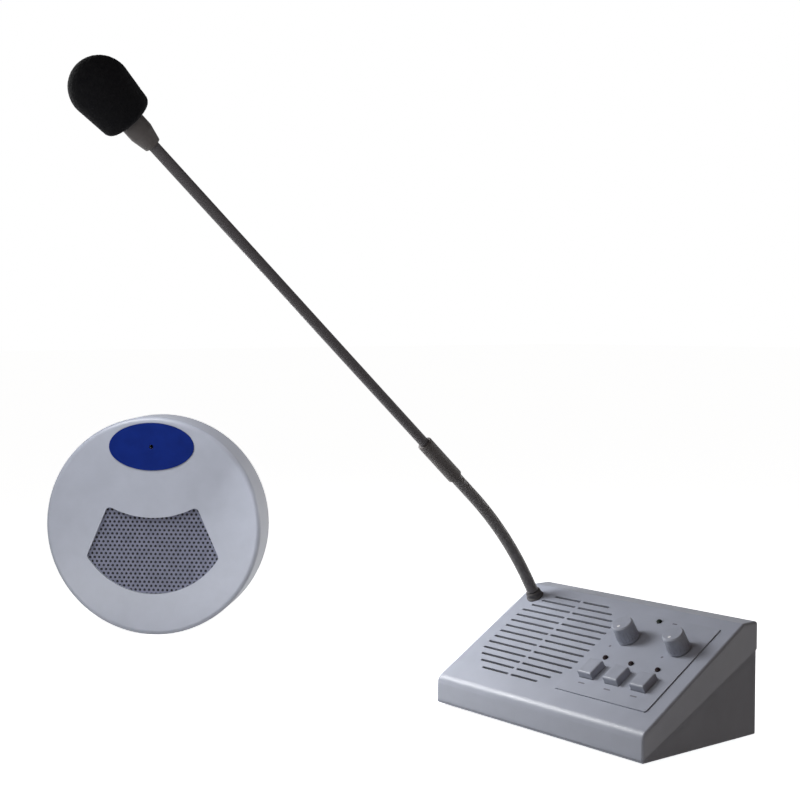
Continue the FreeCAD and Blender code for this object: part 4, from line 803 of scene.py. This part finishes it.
# %% Dots on the knobs, and the felt
KNOB_TOP = PLATE_TOP + 0.6 + 10.3  # the gap below a knob, and its height
DOT_ROW = 57.2
DOT_SUNK = 0.3
DOT_SIZE = (1.7, 1.7, 0.25)
FELT_PLACE = (0, 55.0, WINDOW_THICK - 3.18)
FELT_SIZE = (2.8, 2.8, 0.2)
for side, across in (("left", 20.5), ("right", 55.7)):
    flat_mark(f"{side}_knob_dot", on_panel, (across, DOT_ROW, KNOB_TOP - DOT_SUNK), DOT_SIZE,
              white_paint, f"{side}_volume")
flat_mark("window_microphone_felt", on_window, FELT_PLACE, FELT_SIZE, finishes["foam"],
          "intercom")
print("two dots and a felt")

# %% The inlet's pin
PIN_RADIUS, PIN_LENGTH = 1.0 * MM, 9.0 * MM
PIN_PLACE = Vector((20.0, 37.5, 13.9)) * MM
bpy.ops.mesh.primitive_cylinder_add(
    vertices=24,
    radius=PIN_RADIUS,
    depth=PIN_LENGTH,
    location=PIN_PLACE,
    rotation=(math.radians(90), 0, 0),
)
pin = bpy.context.object
pin.name = "power_inlet_pin"
pin.data.shade_smooth()
pin.data.materials.append(finishes["shaft"])
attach(pin, "intercom")
print("pin stands in the power inlet")

# %% [markdown]
# ## Floor and background
# The object stands on a plain white floor before white. The camera sees both white. For the
# light that bounces on to the object they are darker, or the shaded side would be washed
# out. Reflections see the white floor and walls under a dark ceiling, as in a studio, so
# faces that point upward keep their own colour.


# %% Which rays see the background
def seen_or_mirrored(tree):
    """1 for rays from the camera, a mirror or glass, and 0 for other light."""
    rays = add_node(tree, "ShaderNodeLightPath").outputs
    mirrored = combined(tree, "MAXIMUM", rays["Is Glossy Ray"], rays["Is Transmission Ray"])
    return combined(tree, "MAXIMUM", rays["Is Camera Ray"], mirrored)


print("rays can be told apart")

# %% The world around
AMBIENT_LEFT = (0.01, 0.01, 0.02)
AMBIENT_RIGHT = (0.118, 0.083, 0.058)
WALL_TOP, CEILING_EDGE = 0.215, 0.28
CEILING = (0.12, 0.12, 0.13)
world = bpy.data.worlds.new("studio")
bpy.context.scene.world = world
world.use_nodes = True
sky = world.node_tree
way = add_node(sky, "ShaderNodeTexCoord").outputs["Generated"]
parts = add_node(sky, "ShaderNodeSeparateXYZ", Vector=way).outputs
rightward = add_node(sky, "ShaderNodeMapRange", Value=parts["X"], From_Min=-1.0, From_Max=1.0)
ambient = coloured(sky, rightward.outputs["Result"], (0.2, AMBIENT_LEFT), (0.8, AMBIENT_RIGHT))
studio = coloured(sky, parts["Z"], (WALL_TOP, grey(1)), (CEILING_EDGE, CEILING))

lighting = add_node(sky, "ShaderNodeBackground", Color=ambient, Strength=1.0)
reflected = add_node(sky, "ShaderNodeBackground", Color=studio, Strength=1.0)
white = add_node(sky, "ShaderNodeBackground", Color=(1, 1, 1, 1), Strength=1.0)
from_camera = add_node(sky, "ShaderNodeLightPath").outputs["Is Camera Ray"]
backdrop = mixed(sky, from_camera, reflected, white)
shown = mixed(sky, seen_or_mirrored(sky), lighting, backdrop)
sky.links.new(shown.outputs[0], sky.nodes["World Output"].inputs["Surface"])
print("studio background ready")

# %% The floor
FLOOR_GLOW = (0.98, 0.995, 1, 1)
bpy.ops.mesh.primitive_plane_add(size=20, location=(0, 0, 0))
floor = bpy.context.object
floor.name = "floor"
pale_floor, ground, shader = new_finish("pale_floor")
ground.nodes.remove(shader)
mottle = coloured(ground, blotches(ground, 400), (NOISE_LOW, grey(0.93)), (NOISE_HIGH, grey(0.95)))
lit = add_node(ground, "ShaderNodeBsdfDiffuse", Color=mottle)
glow = add_node(ground, "ShaderNodeEmission", Color=FLOOR_GLOW, Strength=0.95)
bright = add_node(ground, "ShaderNodeAddShader")
for part, socket in zip((lit, glow), bright.inputs):
    ground.links.new(part.outputs[0], socket)
dim = add_node(ground, "ShaderNodeBsdfDiffuse", Color=(*grey(0.25), 1))
either = mixed(ground, seen_or_mirrored(ground), dim, bright)
ground.links.new(either.outputs[0], ground.nodes["Material Output"].inputs["Surface"])
floor.data.materials.append(pale_floor)
print("floor ready")

# %% [markdown]
# ## Light
# Seven softboxes stand round the object, so that each face gets its own share of light.
# The high box and the near box, both on the left, give the main light. It fades towards the
# rear of the panel, and leaves the console's right side in shade. The others are weaker: one
# in front, one for the neck, two for the window unit's face and rim, and a low one behind
# that only the rear faces catch.


# %% A softbox
def softbox(name, place, aim, width, height, strength):
    """A flat lamp that lights what it is aimed at, at a strength where 1 is plain light."""
    lamp = bpy.data.lights.new(name, "AREA")
    lamp.shape = "RECTANGLE"
    lamp.size = width
    lamp.size_y = height
    reach = Vector(aim) - Vector(place)
    lamp.energy = strength * math.pi**2 * reach.length_squared
    holder = put_in_scene(name, lamp)
    holder.location = place
    holder.rotation_euler = reach.to_track_quat("-Z", "Y").to_euler()
    holder.visible_camera = False


print("lamps can be made")

# %% The lamps
PANEL_MIDDLE = (-0.02, -0.02, 0.04)
softbox("high_box", (-0.30, -0.25, 0.35), PANEL_MIDDLE, 0.20, 0.20, 0.64)
softbox("near_box", (-0.22, -0.12, 0.18), PANEL_MIDDLE, 0.12, 0.12, 0.62)
softbox("front_box", (0.02, -0.40, 0.25), PANEL_MIDDLE, 0.20, 0.20, 0.14)
softbox("neck_box", (0.16, -0.12, 0.50), (-0.067, -0.20, 0.38), 0.15, 0.20, 0.20)
softbox("window_box", (-0.27, -0.20, 0.012), (-0.365, -0.054, 0.04), 0.20, 0.02, 0.27)
softbox("rim_box", (-0.25, 0.04, 0.22), (-0.33, -0.03, 0.13), 0.08, 0.08, 0.20)
softbox("rear_box", (-0.12, 0.75, 0.12), (-0.12, 0.04, 0.05), 0.50, 0.14, 0.36)
print("seven lamps")
